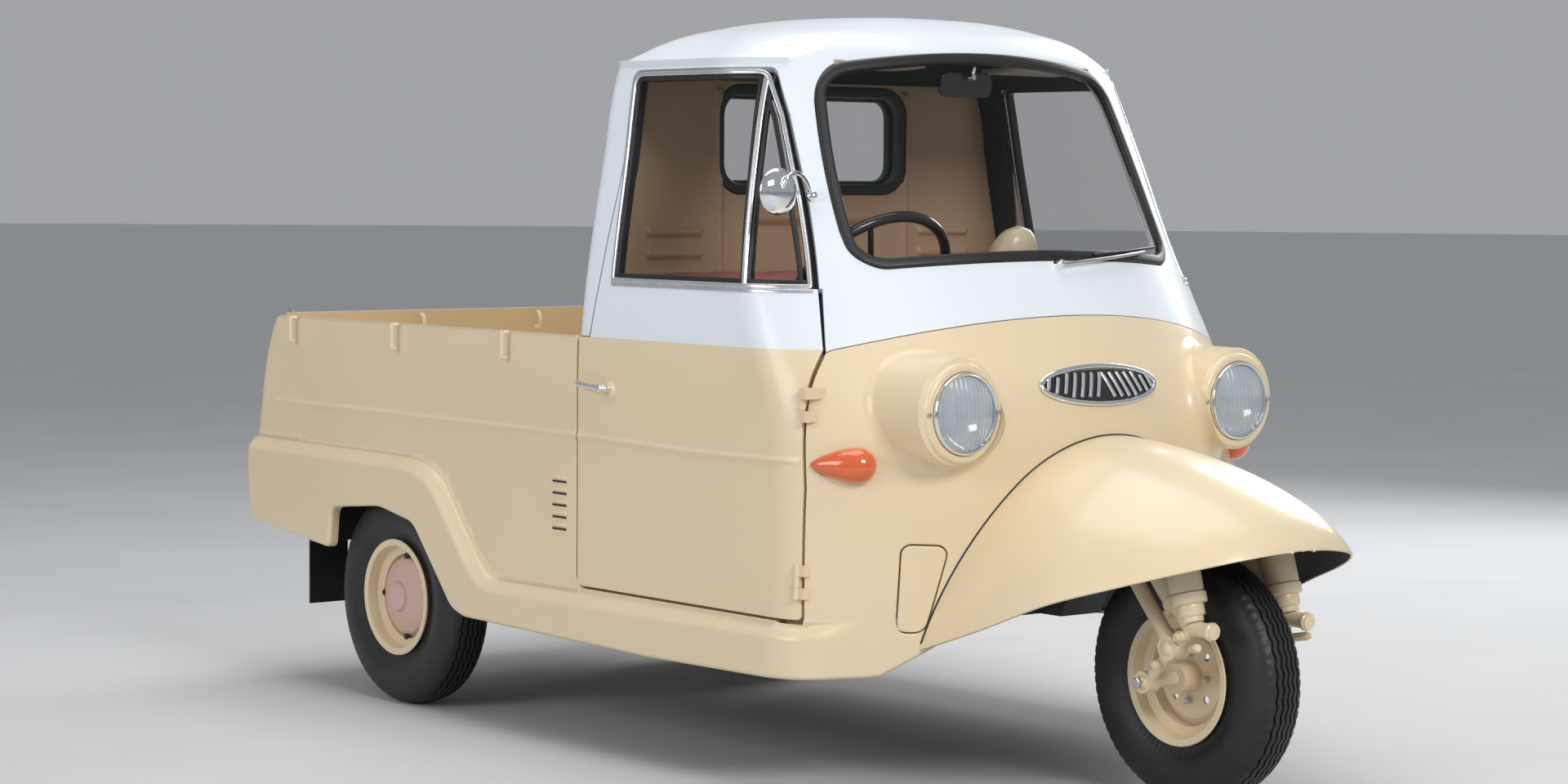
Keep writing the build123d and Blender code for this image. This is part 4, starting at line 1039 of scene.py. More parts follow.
door_hole_line = soft_corners(
    [(-646, 861), (-598, 982), (-594, 983), (-522, 1161), (-450, 1325), (-402, 1419), (-5, 1419), (-14, 1226),
     (12, 982), (30, two_tone_z + paint_gap)],
    {5: 16.0, 6: 24.0, 4: 60.0, 3: 60.0, 7: 60.0}, closed=False)


def shell_outline():
    front_edge = paint_edge(door_hole_line[0], paint_gap)
    hole = side_flat(door_hole_line)
    low_q = two_tone_z + paint_gap
    foot = even_steps([hole[-1], (half_girth(low_q), low_q)], 9.0, closed=False)
    rear_low = centre_line(low_q, rear_window_z[0], True)
    window = [(half_girth(z) - x, z) for x, z in rear_window_outline(0)]
    rear_high = centre_line(rear_window_z[1], roof_top_q, True)
    screen = front_flat(screen_outline(0))
    brow = centre_line(roof_top_q, screen[0][1], False)
    chin = centre_line(screen[-1][1], front_edge[0][1], False)
    return outline_of([
        (front_edge, 1.5), (hole, 3.0), (foot, 3.0), (rear_low, None), (window, 3.0), (rear_high, None),
        (top_ring(), None), (brow, None), (screen, 3.0), (chin, None),
    ])


def roof_cap(build, side_ring_depth):
    """Closes the roof's top inside its last ring, at a depth below the surface."""
    rims = []
    for side in (1, -1):
        place = on_cab(side)
        inner = lifted(place, -side_ring_depth, side < 0)
        rims.append([inner(s, q) for s, q in top_ring()])
    rim = rims[0] + rims[1][::-1][1:-1]
    centre = sum(rim, Vector()) / len(rim)
    centre.z += 0.9
    facing = -1 if side_ring_depth else 1
    rows = []
    for step in range(6):
        share = step / 6
        row = []
        for point in rim:
            out = (point - centre).normalized()
            lean = Vector((out.x, out.y, 0)) * 0.05 * (1 - share)
            row.append(build.add(point.lerp(centre, share), (Vector((0, 0, 1)) + lean) * facing))
        rows.append(row)
    # Look 1, the inner cap's, is the shell's black painted shade.
    look = 1 if side_ring_depth else 0
    build.grid(rows, closed=True, flip=not side_ring_depth, look=look)
    middle = build.add(centre, Vector((0, 0, facing)))
    last = rows[-1]
    for i in range(len(last)):
        corners = (last[i], last[(i + 1) % len(last)], middle)
        build.face(corners if side_ring_depth else corners[::-1], look)


def make_cab_shell():
    build = Build()
    outline, rolls = shell_outline()
    for _, side in sides:
        panel(build, on_cab(side), outline, rolls=rolls, pitch=13.0, thickness=shell_wall, flip=side < 0)
    roof_cap(build, 0.0)
    roof_cap(build, shell_wall)
    # The shell's inner faces and inner roof cap take the black headliner, painted shade for the dark inside of
    # the cab.
    shell_piece("cab_upper_shell", build, (white, painted_shade_liner), "body", ("cab_shell", "roof"), weld=0.35)


make_cab_shell()


# ---------------------------------------------------------------- cream nose and bed sides
pod_x = 375.0
pod_z = 750.0
pod_front_y = -880.0
# columns: y, radius
pod_rows = [(-880, 95), (-862, 99), (-820, 105), (-760, 110), (-600, 114)]
pod_ys, pod_radii = zip(*pod_rows)
pod_fillet = 34.0
pod_steps = 72


def pod_profile(turn):
    """(radius, y) points of the pod at an angle round its axis, from the nose's skin to its mouth."""
    cx, sz = math.cos(turn), math.sin(turn)

    def nose_at(rho):
        return nose_y(pod_x + rho * cx, pod_z + rho * sz)

    rho_side = 108.0
    for _ in range(6):
        rho_side = catmull(pod_ys, pod_radii, max(pod_front_y, nose_at(rho_side) - pod_fillet))

    def lean_at(rho):
        return nose_at(rho + 0.5) - nose_at(rho - 0.5)

    low, high = rho_side - 5.0, rho_side + 2.5 * pod_fillet
    for _ in range(30):
        rho = (low + high) / 2
        lean = lean_at(rho)
        reach = rho + pod_fillet * lean / math.sqrt(1 + lean * lean) - rho_side - pod_fillet
        if reach < 0:
            low = rho
        else:
            high = rho
    lean = lean_at(rho)
    scale = math.sqrt(1 + lean * lean)
    centre = (rho_side + pod_fillet, nose_at(rho) - pod_fillet / scale)
    first = math.atan2(1 / scale, -lean / scale)
    last = math.pi
    points = []
    for k in range(9):
        angle = first + (last - first) * k / 8
        points.append((centre[0] + pod_fillet * math.cos(angle), centre[1] + pod_fillet * math.sin(angle)))
    start_y = min(centre[1], -866.0)
    edge = 9.0
    for k in range(1, 8):
        y = start_y + (pod_front_y + edge - start_y) * k / 7
        share = k / 7
        radius = catmull(pod_ys, pod_radii, y) * share + rho_side * (1 - share)
        points.append((radius, y))
    tip = points[-1][0]
    for k in range(1, 5):
        angle = math.pi / 2 * k / 4
        points.append((tip - edge * (1 - math.cos(angle)), pod_front_y + edge - edge * math.sin(angle)))
    points += [(82.0, pod_front_y), (81.0, pod_front_y + 1.0), (80.5, pod_front_y + 40.0)]
    return rho, points


def pod_columns():
    """The pod's rim on the nose as (x, z), and its profiles as (x, y, z) points."""
    rim = []
    columns = []
    for k in range(pod_steps):
        turn = 2 * math.pi * k / pod_steps
        rho, points = pod_profile(turn)
        rim.append((pod_x + rho * math.cos(turn), pod_z + rho * math.sin(turn)))
        columns.append([(pod_x + r * math.cos(turn), y, pod_z + r * math.sin(turn)) for r, y in points])
    return rim, columns


def add_pod(build, side, place, rim, profiles, thickness):
    """The lamp pod's skin, from the nose's surface to its mouth and back to the nose's inside."""
    columns = []
    for (s, q), profile in zip(rim, profiles):
        column = [Vector((side * x, y, z)) for x, y, z in profile]
        column[0] = place(s, q)
        column.append(column[0] - surface_normal(place, s, q, side < 0) * thickness)
        columns.append(column)
    count = len(columns)
    indices = []
    for k, column in enumerate(columns):
        line = []
        for i, point in enumerate(column):
            round_about = columns[(k + 1) % count][i] - columns[k - 1][i]
            outward = column[min(i + 1, len(column) - 1)] - column[max(i - 1, 0)]
            normal = round_about.cross(outward) * side
            line.append(build.add(point, normal.normalized()))
        indices.append(line)
    build.grid(indices, wrap=True, flip=side > 0)


# The vent door low on the right of the nose; columns: x, z
vent_outline = soft_corners([(449, 496), (362, 492), (403, 321), (455, 322)], {0: 20, 1: 20, 2: 26, 3: 20}, 7.0)
vent_gap = 2.5
# Nose and bed side meet under the door's front corner.
sill_split_y = -660.0
sill_low_z = 232
sill_high_z = 343
wheel_gap_z = 585
skin = 26.0


def nose_outline():
    door_edge = soft_corners([(-646, 859.5), (-653, 739), (-662, 600), (sill_split_y, sill_high_z)],
                             {1: 40.0, 2: 60.0}, closed=False)
    edge = paint_edge(door_edge[0], 0.0, inwards=True)
    door_side = side_flat(door_edge[::-1])
    seam = side_flat(even_steps([(sill_split_y, sill_low_z), (sill_split_y, sill_high_z)], 10.0, closed=False))
    bottom = even_steps([from_front(478, 237), from_side(-738, 234), from_side(sill_split_y, sill_low_z)],
                        9.0, closed=False)
    wheel_gap = soft_corners(
        [(0, wheel_gap_z), (160, wheel_gap_z), (242, 470), (242, 384), (345, 384), (378, 298), (478, 237)],
        {1: 20.0, 2: 20.0, 3: 16.0, 4: 20.0, 5: 30.0}, 10.0, closed=False)
    middle = centre_line(boundary_top_z, wheel_gap_z, False)
    return outline_of([(bottom, 9.0), (seam, None), (door_side, 3.0), (edge, 1.5), (middle, None),
                       (front_flat(wheel_gap), 8.0)])


bed_rail_z = 869.0
bed_front_y = 71
# The lower edge from the tail over the wheel arch to the sill's front; columns: y, z
arch_points = [(1389, 383), (1014, 341), (1003, 436), (805, 454), (662, 428), (504, 252), (455, 239),
               (-216, 227), (sill_split_y, sill_low_z)]


def side_outline():
    """The bed side with the skirt and the sill, from the sill's split round the bottom, tail and top."""
    tail = [(tail_y(z) + tail_radius * (math.pi / 2 - 1), z) for z in range(400, 870, 12)]
    under = soft_corners(arch_points[::-1], {2: 60.0, 3: 90.0, 4: 70.0, 5: 200.0, 6: 24.0, 7: 16.0},
                         closed=False)
    under[-1] = (tail_y(383) + tail_radius * 0.2, 383)
    under.append((tail_y(392) + tail_radius * 0.5, 389))
    top = even_steps([(tail[-1][0], bed_rail_z), (bed_front_y, bed_rail_z)], 12.0, closed=False)
    front = soft_corners([(bed_front_y, bed_rail_z), (bed_front_y, 340), (sill_split_y, 340),
                          (sill_split_y, sill_high_z)], {1: 30.0}, closed=False)
    seam = even_steps([(sill_split_y, sill_high_z), (sill_split_y, sill_low_z)], 10.0, closed=False)
    parts = [(under, 9.0), ([under[-1]] + tail, 5.0), ([tail[-1]] + top, 11.0), (front, 3.0), (seam, None)]
    return outline_of([(side_flat(points), roll) for points, roll in parts])


bead_shares = (-1.0, -0.6, -0.3, 0.0, 0.3, 0.6, 1.0)
bead_rows = len(bead_shares)


def crease_lines():
    """Rows of points along the bead and then the skirt's crease, so that the mesh follows their form."""
    lines = []
    for share in bead_shares:
        lines.append([(y, line_z(bead_line, y) + share * bead_half) for y in range(-640, 1340, 10)])
    for depth in (0.0, 3.0, 7.0, 12.0, 18.0, 24.0, 30.0, 36.0):
        line = []
        for (ay, az), (by, bz) in zip(crease_line, crease_line[1:]):
            length = math.hypot(by - ay, bz - az)
            parts = max(1, round(length / 10))
            for k in range(parts):
                share = k / parts
                line.append((ay + (by - ay) * share + (bz - az) / length * depth,
                             az + (bz - az) * share - (by - ay) / length * depth))
        lines.append(line)
    return lines


def inside(outline, point):
    x, y = point
    hit = False
    for (ax, ay), (bx, by) in zip(outline, outline[1:] + outline[:1]):
        if (ay > y) != (by > y) and x < ax + (bx - ax) * (y - ay) / (by - ay):
            hit = not hit
    return hit


def clipped(lines, outline):
    """The stretches of (y, z) lines that lie well inside an (s, q) outline, as (s, q)."""
    margin = 14.0
    runs = []
    for line in lines:
        runs.append([])
        for point in side_flat(line):
            near = min(abs(point[0] - a) + abs(point[1] - b) for a, b in outline)
            if near > margin and inside(outline, point):
                runs[-1].append(point)
            else:
                runs.append([])
    return [run for run in runs if len(run) > 1]


def make_lower_body():
    build = Build()
    nose, nose_rolls = nose_outline()
    flank, flank_rolls = side_outline()
    lines = crease_lines()
    flank_lines = clipped(lines, flank)
    nose_lines = clipped(lines, nose)
    rim, profiles = pod_columns()
    pod_hole = front_flat(rim)
    for _, side in sides:
        holes = [(pod_hole, None)]
        if side < 0:
            holes.append((front_flat(vent_outline), 3.5))
        place = on_cab(side, wraps=False)
        panel(build, place, nose, holes, nose_rolls, nose_lines, 13.0, thickness=skin, flip=side < 0)
        add_pod(build, side, place, pod_hole, profiles, skin)
        panel(build, place, flank, (), flank_rolls, flank_lines, 15.0, thickness=skin, flip=side < 0)
    shell_piece("lower_body", build, (cream, dull_shaded_cream), "body",
                ("nose_panel", "side_panel_left", "side_panel_right"))


make_lower_body()


def shrunk(points, gap):
    """A closed outline drawn in by a gap."""
    loop = list(points)
    if not is_counter_clockwise(loop):
        loop.reverse()
    direction = inward(loop, [1.0] * len(loop))
    return [(p[0] + d.x * gap, p[1] + d.y * gap) for p, d in zip(loop, direction)]


panel_piece("nose_vent_door", on_cab(-1, wraps=False), front_flat(shrunk(vent_outline, vent_gap)),
            (cream, dull_shaded_cream), "body", pitch=13.0, roll=3.0, thickness=18.0, flip=True)


# ---------------------------------------------------------------- doors
def edge_rolls(line, is_joint, roll):
    """A roll for each edge, next to none where the two colours of a door join."""
    return [0.1 if is_joint(z, after) else roll for (_, z), (_, after) in zip(line, line[1:] + line[:1])]


def make_door(name, side):
    place = on_cab(side, wraps=False)
    lower = soft_corners(
        door_front + [(door_rear_y, two_tone_z - 0.2), (door_rear_y, 345)],
        {0: 8.0, 1: 60.0, 2: 40.0, 5: 8.0}, 9.0)
    flat = side_flat(lower)
    rolls = edge_rolls(lower, lambda z, after: min(z, after) > two_tone_z - 2, 3.0)
    panel_piece(f"door_skin_{name}", place, flat, (cream, dull_shaded_cream), f"door_{name}", f"door_lower_{name}",
                rolls=rolls, creases=clipped(crease_lines()[:bead_rows], flat), thickness=skin, flip=side < 0)

    belt = soft_corners(
        [door_front[-1], belt_front, window_rear[-1], (-20.3, 1200), (-16.2, 1200), belt_rear, door_step],
        {1: 3.0}, 9.0)
    rolls = edge_rolls(belt, lambda z, after: max(z, after) < two_tone_z + 1, 1.2)
    panel_piece(f"door_belt_{name}", place, side_flat(belt), (white, dull_shaded_cream), f"door_{name}",
                f"door_upper_{name}", rolls=rolls, thickness=skin, flip=side < 0)


for name, side in sides:
    make_door(name, side)


# ---------------------------------------------------------------- front fender
# columns: y, half width, lower edge z, crown z
fender_rows = [
    (-1411, 25, 512, 513), (-1396, 110, 505, 534), (-1368, 178, 494, 561), (-1315, 240, 476, 594),
    (-1220, 310, 445, 634), (-1100, 365, 406, 667), (-960, 400, 348, 690), (-780, 415, 285, 700),
]
fender_sheet = 6.0
fender_crown_share = 0.55
fender_crown_drop = 0.225
fender_steps_across = 112
fender_steps_along = 56
fender_knots = [0.0]
for before, after in zip(fender_rows, fender_rows[1:]):
    fender_knots.append(fender_knots[-1] + math.hypot(after[0] - before[0], after[1] - before[1]))
fender_columns = list(zip(*fender_rows))


@lru_cache(maxsize=20000)
def fender_sizes(v):
    return tuple(catmull(fender_knots, column, v) for column in fender_columns)


def fender_point(u, v):
    """A point of the fender: u runs from -1 to 1 across, v from the tip back."""
    y, half, low, top = fender_sizes(v)
    shoulder = fender_crown_share * half
    drop = fender_crown_drop * (top - low)
    crown_r = (shoulder ** 2 + drop ** 2) / (2 * drop)
    slope = math.asin(shoulder / crown_r)
    chord = Vector((half - shoulder, low - top + drop))
    inward_axis = Vector((-math.sin(slope), -math.cos(slope)))
    side_r = chord.length_squared / (2 * chord.dot(inward_axis))
    side_turn = 2 * math.asin(min(1.0, chord.length / (2 * side_r)))
    length = crown_r * slope + side_r * side_turn
    s = abs(u) * length
    if s < crown_r * slope:
        angle = s / crown_r
        x, z = crown_r * math.sin(angle), top - crown_r * (1 - math.cos(angle))
    else:
        angle = slope + (s - crown_r * slope) / side_r
        centre = Vector((shoulder, top - drop)) + inward_axis * side_r
        x, z = centre.x + side_r * math.sin(angle), centre.y + side_r * math.cos(angle)
    return Vector((math.copysign(x, u), y, z))


def join_v(u):
    """Where the fender meets the nose."""

    def is_ahead(v):
        point = fender_point(u, v)
        return point.y < nose_y(point.x, point.z) + 1.5

    return halve(fender_knots[1], fender_knots[-1], is_ahead, 30)


def sheet_from_rows(build, rows, thickness, back_look):
    """A closed sheet: rows of outer points, the same drawn in by the thickness, and rounded borders."""
    height, width = len(rows), len(rows[0])
    normals = []
    for i in range(height):
        line = []
        for j in range(width):
            across = rows[i][min(j + 1, width - 1)] - rows[i][max(j - 1, 0)]
            along = rows[min(i + 1, height - 1)][j] - rows[max(i - 1, 0)][j]
            line.append(across.cross(along).normalized())
        normals.append(line)
    outer = []
    inner = []
    for row, line in zip(rows, normals):
        outer.append([build.add(p, n) for p, n in zip(row, line)])
        inner.append([build.add(p - n * thickness, -n) for p, n in zip(row, line)])
    build.grid(outer)
    build.grid(inner, flip=True, look=back_look)
    rim = [(0, j) for j in range(width)] + [(i, width - 1) for i in range(1, height)]
    rim += [(height - 1, j) for j in range(width - 2, -1, -1)] + [(i, 0) for i in range(height - 2, 0, -1)]
    reach = thickness / 2
    strips = []
    for i, j in rim:
        point, normal = rows[i][j], normals[i][j]
        out = Vector((0, 0, 0))
        if i in (0, height - 1):
            out += point - rows[1 if i == 0 else height - 2][j]
        if j in (0, width - 1):
            side_step = point - rows[i][1 if j == 0 else width - 2]
            out += side_step.normalized() * (out.length if out.length else 1.0)
        out = (out - normal * out.dot(normal)).normalized()
        column = [outer[i][j]]
        for k in range(1, 6):
            c, s = math.cos(math.pi * k / 6), math.sin(math.pi * k / 6)
            column.append(build.add(point - normal * reach * (1 - c) + out * reach * s, normal * c + out * s))
        column.append(inner[i][j])
        strips.append(column)
    build.grid([list(line) for line in zip(*strips)], closed=True, flip=True)


def make_fender():
    shares = [-1 + 2 * k / fender_steps_across for k in range(fender_steps_across + 1)]
    ends = [join_v(u) for u in shares]
    rows = []
    for i in range(fender_steps_along + 1):
        along = 0.005 + 0.995 * (i / fender_steps_along) ** 1.25
        rows.append([fender_point(u, end * along) for u, end in zip(shares, ends)])
    build = Build()
    sheet_from_rows(build, rows, fender_sheet, back_look=1)
    shell_piece("front_wheel_fender", build, (cream, chassis_black), "body", "front_fender")

    line = rows[-1][1:-1]
    ups = [Vector((point.x, point.y - 200, 0)).normalized() for point in line]
    centres = [point + Vector((0, -1.6, 0)) for point in line]
    build = Build()
    sweep(build, path_frames(centres, ups), circle(10, 2.4, 2.4))
    shell_piece("fender_join_welt", build, rubber, "body")


make_fender()


# ---------------------------------------------------------------- wheels
tyre_radius = 244.0
track_half = 533.0
front_axle_y = -1134.0
rear_axle_y = 811.0
tyre_segments = 288
# Half of the tyre's outer profile from the tread's middle to the bead; columns: x, radius
tyre_profile = [
    (0, 244.0), (8, 243.7), (16, 242.9), (24, 241.6), (32, 239.6), (38, 237.4), (42, 234.9), (46.0, 230.5),
    (49.5, 225), (53, 216), (55.6, 206), (57.0, 195), (57.2, 184), (56.2, 173), (53.8, 163), (50.5, 155),
    (47.5, 149), (45.5, 143), (44.5, 138), (44.0, 133), (44.0, 128.5),
]
# Grooves round the tread; columns: middle x, half width, depth
tread_grooves = [(0.0, 1.6, 4.5), (13.0, 1.8, 5.0), (27.0, 1.8, 5.0)]
tread_half = 36
zigzag_count = 48
zigzag_reach = 2.3
sipe_every = 4
sipe_depth = 2.2
tyre_bead_r = 127.0


def tread_columns():
    """Signed x places across the tyre with their radius, close together at the grooves."""
    xs = {20.0, 33.0, 37.5}
    for middle, half, _ in tread_grooves:
        xs |= {round(middle + shift, 2) for shift in (-half - 0.7, -half, half, half + 0.7)}
    crown_xs, crown_radii = zip(*tyre_profile[:7])
    crown = [(x, catmull(crown_xs, crown_radii, x)) for x in sorted(xs) if x > 0]
    half = crown + [row for row in tyre_profile if row[1] < 238]
    return [(-x, r) for x, r in reversed(half)] + half


def groove_depth(x):
    for middle, half, depth in tread_grooves:
        if abs(abs(x) - middle) <= half + 0.01:
            return depth
    return 0.0


def make_tyre(name, x_place, y_place, body, node):
    columns = tread_columns()
    build = Build()
    rows = []
    for k, (cos, sin) in enumerate(circle(tyre_segments)):
        phase = k / tyre_segments * zigzag_count % 1.0
        wave = 4 * abs(phase - 0.5) - 1
        row = []
        for x, radius in columns:
            shift = wave * zigzag_reach * min(1.0, max(0.0, tread_half - abs(x)) / 6)
            has_sipe = tread_half < abs(x) < 48 and k % sipe_every == 0
            row.append((x + shift, radius - (sipe_depth if has_sipe else groove_depth(x))))
        row += [(40.0, tyre_bead_r), (-40.0, tyre_bead_r)]
        rows.append([build.add((x_place + x, y_place + r * sin, tyre_radius + r * cos), (0, 0, 1))
                     for x, r in row])
    build.grid(rows, closed=True, wrap=True)
    sharp_piece(name, build, 40, tyre_rubber, body, node)


make_tyre("tyre_front", 0.0, front_axle_y, "front_wheel", "front_tyre")
for name, side in sides:
    make_tyre(f"tyre_rear_{name}", side * track_half, rear_axle_y, f"rear_wheel_{name}", f"rear_tyre_{name}")


# ---------------------------------------------------------------- window seals and frames
def trim_piece(name, points, ups, bar, closed, material, body, replaces=()):
    """A rounded bar along points of a surface; bar: width, lower face, height, radius."""
    width, low, height, radius = bar
    build = Build()
    sweep(build, path_frames(points, ups, closed), rounded_profile(width, height, radius, low), closed)
    sharp_piece(name, build, 50, material, body, replaces)


def surface_path(place, flat, flip):
    return [place(a, b) for a, b in flat], [surface_normal(place, a, b, flip) for a, b in flat]


def ring_piece(name, half_line, bar, replaces=()):
    """A rubber seal round the windscreen or the rear window, from its half outline as (s, q)."""
    points, ups = surface_path(on_cab(1), half_line, False)
    right_points, right_ups = surface_path(on_cab(-1), half_line, True)
    points = points[:-1] + right_points[:0:-1]
    ups = ups[:-1] + right_ups[:0:-1]
    trim_piece(name, points, ups, bar, True, rubber, "body", replaces)


ring_piece("windscreen_seal", front_flat(screen_outline(10.5)), (23.0, -14.0, 18.5, 6.0), "window_seals")
ring_piece("rear_window_seal", [(half_girth(z) - x, z) for x, z in reversed(rear_window_outline(12.0))],
           (26.0, -14.0, 19.0, 6.0))

# The door window's outline, as (y, z)
window_loop = soft_corners(window_rear + window_front,
                           {0: 28.0, 1: 80.0, 2: 6.0, 3: 6.0, 4: 80.0, 5: 80.0, 6: 30.0}, 9.0)


def side_bar(name, side, line, bar, material, body, closed=False, replaces=()):
    """A bar along (y, z) points on the side's surface."""
    place = on_cab(side, wraps=False)
    points, ups = surface_path(place, side_flat(line), side < 0)
    trim_piece(name, points, ups, bar, closed, material, body, replaces)


def straight_bar(name, side, line, bar, material, body):
    side_bar(name, side, even_steps(line, 16.0, closed=False), bar, material, body)


for name, side in sides:
    door = f"door_{name}"
    side_bar(f"window_frame_chrome_{name}", side, shrunk(window_loop, 4.5), (10.0, -22.0, 24.0, 3.0), satin_trim,
             door, True, f"window_frame_{name}")
    side_bar(f"window_run_rubber_{name}", side, shrunk(window_loop, 14.0), (10.0, -21.0, 19.5, 3.0), rubber,
             door, True)
    post = [(-469, 990), (-395, 1404)]
    straight_bar(f"vent_post_{name}", side, post, (13.0, -20.0, 21.5, 4.0), satin_trim, door)
    for number, shift in enumerate((-10.0, 10.0)):
        edge = [(y + shift, z) for y, z in post]
        straight_bar(f"vent_post_rubber_{name}_{number}", side, edge, (7.0, -19.0, 16.0, 2.5), rubber, door)
    straight_bar(f"belt_strip_{name}", side, [(-589, 977), (-34, 977)], (9.0, -4.0, 5.5, 2.2), satin_trim, door)


# ---------------------------------------------------------------- lamps
lens_radius = 72.7
lens_proud = 15.0
lamp_screw_ring = 89.5


def ring_of(name, profile, origin, axis, segments, body, replaces=()):
    """A chrome ring turned from a closed section of (along, radius) points."""
    build = Build()
    axis, side_axis, other = axes_of(axis)
    rows = []
    for cos, sin in circle(segments):
        radial = side_axis * cos + other * sin
        rows.append([build.add(Vector(origin) + axis * along + radial * radius, radial)
                     for along, radius in profile])
    build.grid(rows, closed=True, wrap=True)
    sharp_piece(name, build, 40, chrome, body, replaces)


def make_lamp(name, side):
    origin = (side * pod_x, pod_front_y, pod_z)
    ahead = (0, -1, 0)
    section = [(-6, 73), (4, 73), (7, 74.2), (8, 76.6), (7, 79), (4, 80.2), (-6, 80)]
    ring_of(f"headlamp_ring_{name}", section, origin, ahead, 72, "body", "headlamps")
    bowl = [(-41, 0), (-38, 24), (-25, 52), (-13, 67), (-1, 74), (-1, 73), (-12, 65), (-24, 50), (-33, 30),
            (-36, 8), (-36.5, 0)]
    turned_piece(f"headlamp_reflector_{name}", bowl, origin, ahead, 64, chrome, "body")
    radii = [lens_radius * k / 12 for k in range(13)]
    front = [(lens_proud * (1 - (r / lens_radius) ** 2) + 0.5, r) for r in radii]
    lens = [(a - 3.0, r) for a, r in front] + front[::-1]
    turned_piece(f"headlamp_lens_{name}", lens, origin, ahead, 72, fluted_glass, "body", "headlamp_lenses")
    for number, shift in enumerate((lamp_screw_ring, -lamp_screw_ring)):
        place = (origin[0] + shift, pod_front_y + 0.5, pod_z)
        turned_piece(f"headlamp_screw_{name}_{number}", [(-3, 0), (-3, 5), (1, 5), (2.4, 3.6), (3, 0)], place,
                     ahead, 20, dull_steel, "body")


for name, side in sides:
    make_lamp(name, side)


# ---------------------------------------------------------------- grille
grille_z = 792.0
grille_half = (158.0, 41.0)
grille_rim = 10.0
grille_lean = math.tan(math.radians(24.0))
grille_slats = 7


def nose_place(x, z):
    return Vector((x, nose_y(x, z), z))


def grille_oval(inset, count):
    return [(x, grille_z + z) for x, z in circle(count, grille_half[0] - inset, grille_half[1] - inset)]


def make_grille():
    """A chrome oval rim round leaning slats over a dark back."""
    build = Build()
    points, ups = surface_path(nose_place, grille_oval(grille_rim / 2, 96), False)
    sweep(build, path_frames(points, ups, closed=True), rounded_profile(grille_rim, 9.5, 4.2, -1.0), closed=True)
    sharp_piece("grille_rim", build, 60, chrome, "body", "grille")
    panel_piece("grille_back", lifted(nose_place, 1.2), grille_oval(grille_rim, 64), black_plastic, "body",
                roll=0.5, back_roll=0.2, thickness=2.0, pitch=18.0)
    build = Build()
    inner_half, inner_height = grille_half[0] - grille_rim, grille_half[1] - grille_rim
    for side in (-1, 1):
        for number in range(grille_slats):
            foot = side * inner_half * (number + 0.62) / (grille_slats + 0.1)
            line = []
            for k in range(9):
                z = -inner_height + 2 * inner_height * k / 8
                x = foot - side * grille_lean * z
                limit = inner_half * math.sqrt(max(0.0, 1 - (z / inner_height) ** 2))
                if abs(x) < limit + 3 and x * side > 1.5:
                    line.append((x, grille_z + z))
            if len(line) > 1:
                points, ups = surface_path(nose_place, line, False)
                sweep(build, path_frames(points, ups), rounded_profile(8.6, 6.5, 3.0, 0.5))
    sharp_piece("grille_slats", build, 50, bright_silver, "body")


make_grille()


# ---------------------------------------------------------------- turn signals
signal_z = 647.0
signal_radius = 35.0


def make_signal(name, side):
    """A drop-shaped amber lens on a dark foot, pointing back along the nose's corner."""
    tip = Vector((side * 583.0, -668.0, signal_z))
    nose_end = Vector((side * 490.0, -757.0, signal_z))
    along = (nose_end - tip).normalized()
    straight = (nose_end - tip).length - signal_radius
    profile = [(0.0, 0.0), (1.0, 4.5)]
    for k in range(1, 12):
        share = k / 11
        swell = math.sin(share * math.pi / 2) ** 0.85
        profile.append((share * straight, 4.5 + (signal_radius - 5.5) * swell + share))
    for k in range(1, 9):
        angle = math.pi / 2 * k / 8
        profile.append((straight + signal_radius * math.sin(angle), signal_radius * math.cos(angle)))
    turned_piece(f"turn_signal_{name}", profile, tip, along, 48, amber, "body", "turn_signals", 50)
    outline = []
    for cos, sin in circle(40):
        share = (1 - cos) / 2
        outline.append((-749.0 + 80.0 * share, signal_z + 36.0 * sin * (1 - 0.45 * share)))
    place = lifted(on_cab(side, wraps=False), 2.4, side < 0)
    panel_piece(f"turn_signal_gasket_{name}", place, side_flat(outline), rubber, "body", roll=1.2, back_roll=0.4,
                thickness=6.0, pitch=12.0, flip=side < 0)


for name, side in sides:
    make_signal(name, side)


# ---------------------------------------------------------------- drip rail
def make_drip_rail():
    build = Build()
    q = q_at_z(1428.0)
    s_low = s_at_y(q, -413.0)
    s_high = half_girth(q)
    line = [(s_low + (s_high - s_low) * k / 90, q) for k in range(91)]
    section = [(-5.5, -4), (4, -4), (6, 2), (6.5, 8.5), (4.5, 10.5), (2.6, 8.6), (1, 3.6), (-3, 2.2)]
    for _, side in sides:
        points, ups = surface_path(on_cab(side), line, side < 0)
        profile = section if side < 0 else [(-a, b) for a, b in reversed(section)]
        sweep(build, path_frames(points, ups), profile)
    sharp_piece("drip_rail", build, 55, white, "body")


make_drip_rail()


# ---------------------------------------------------------------- louvres, hinges and handles
louvre_y = 130.0
louvre_z = 461.0
louvre_pitch = 25.0
louvre_count = 5
hinge_heights = (420.0, 762.0)


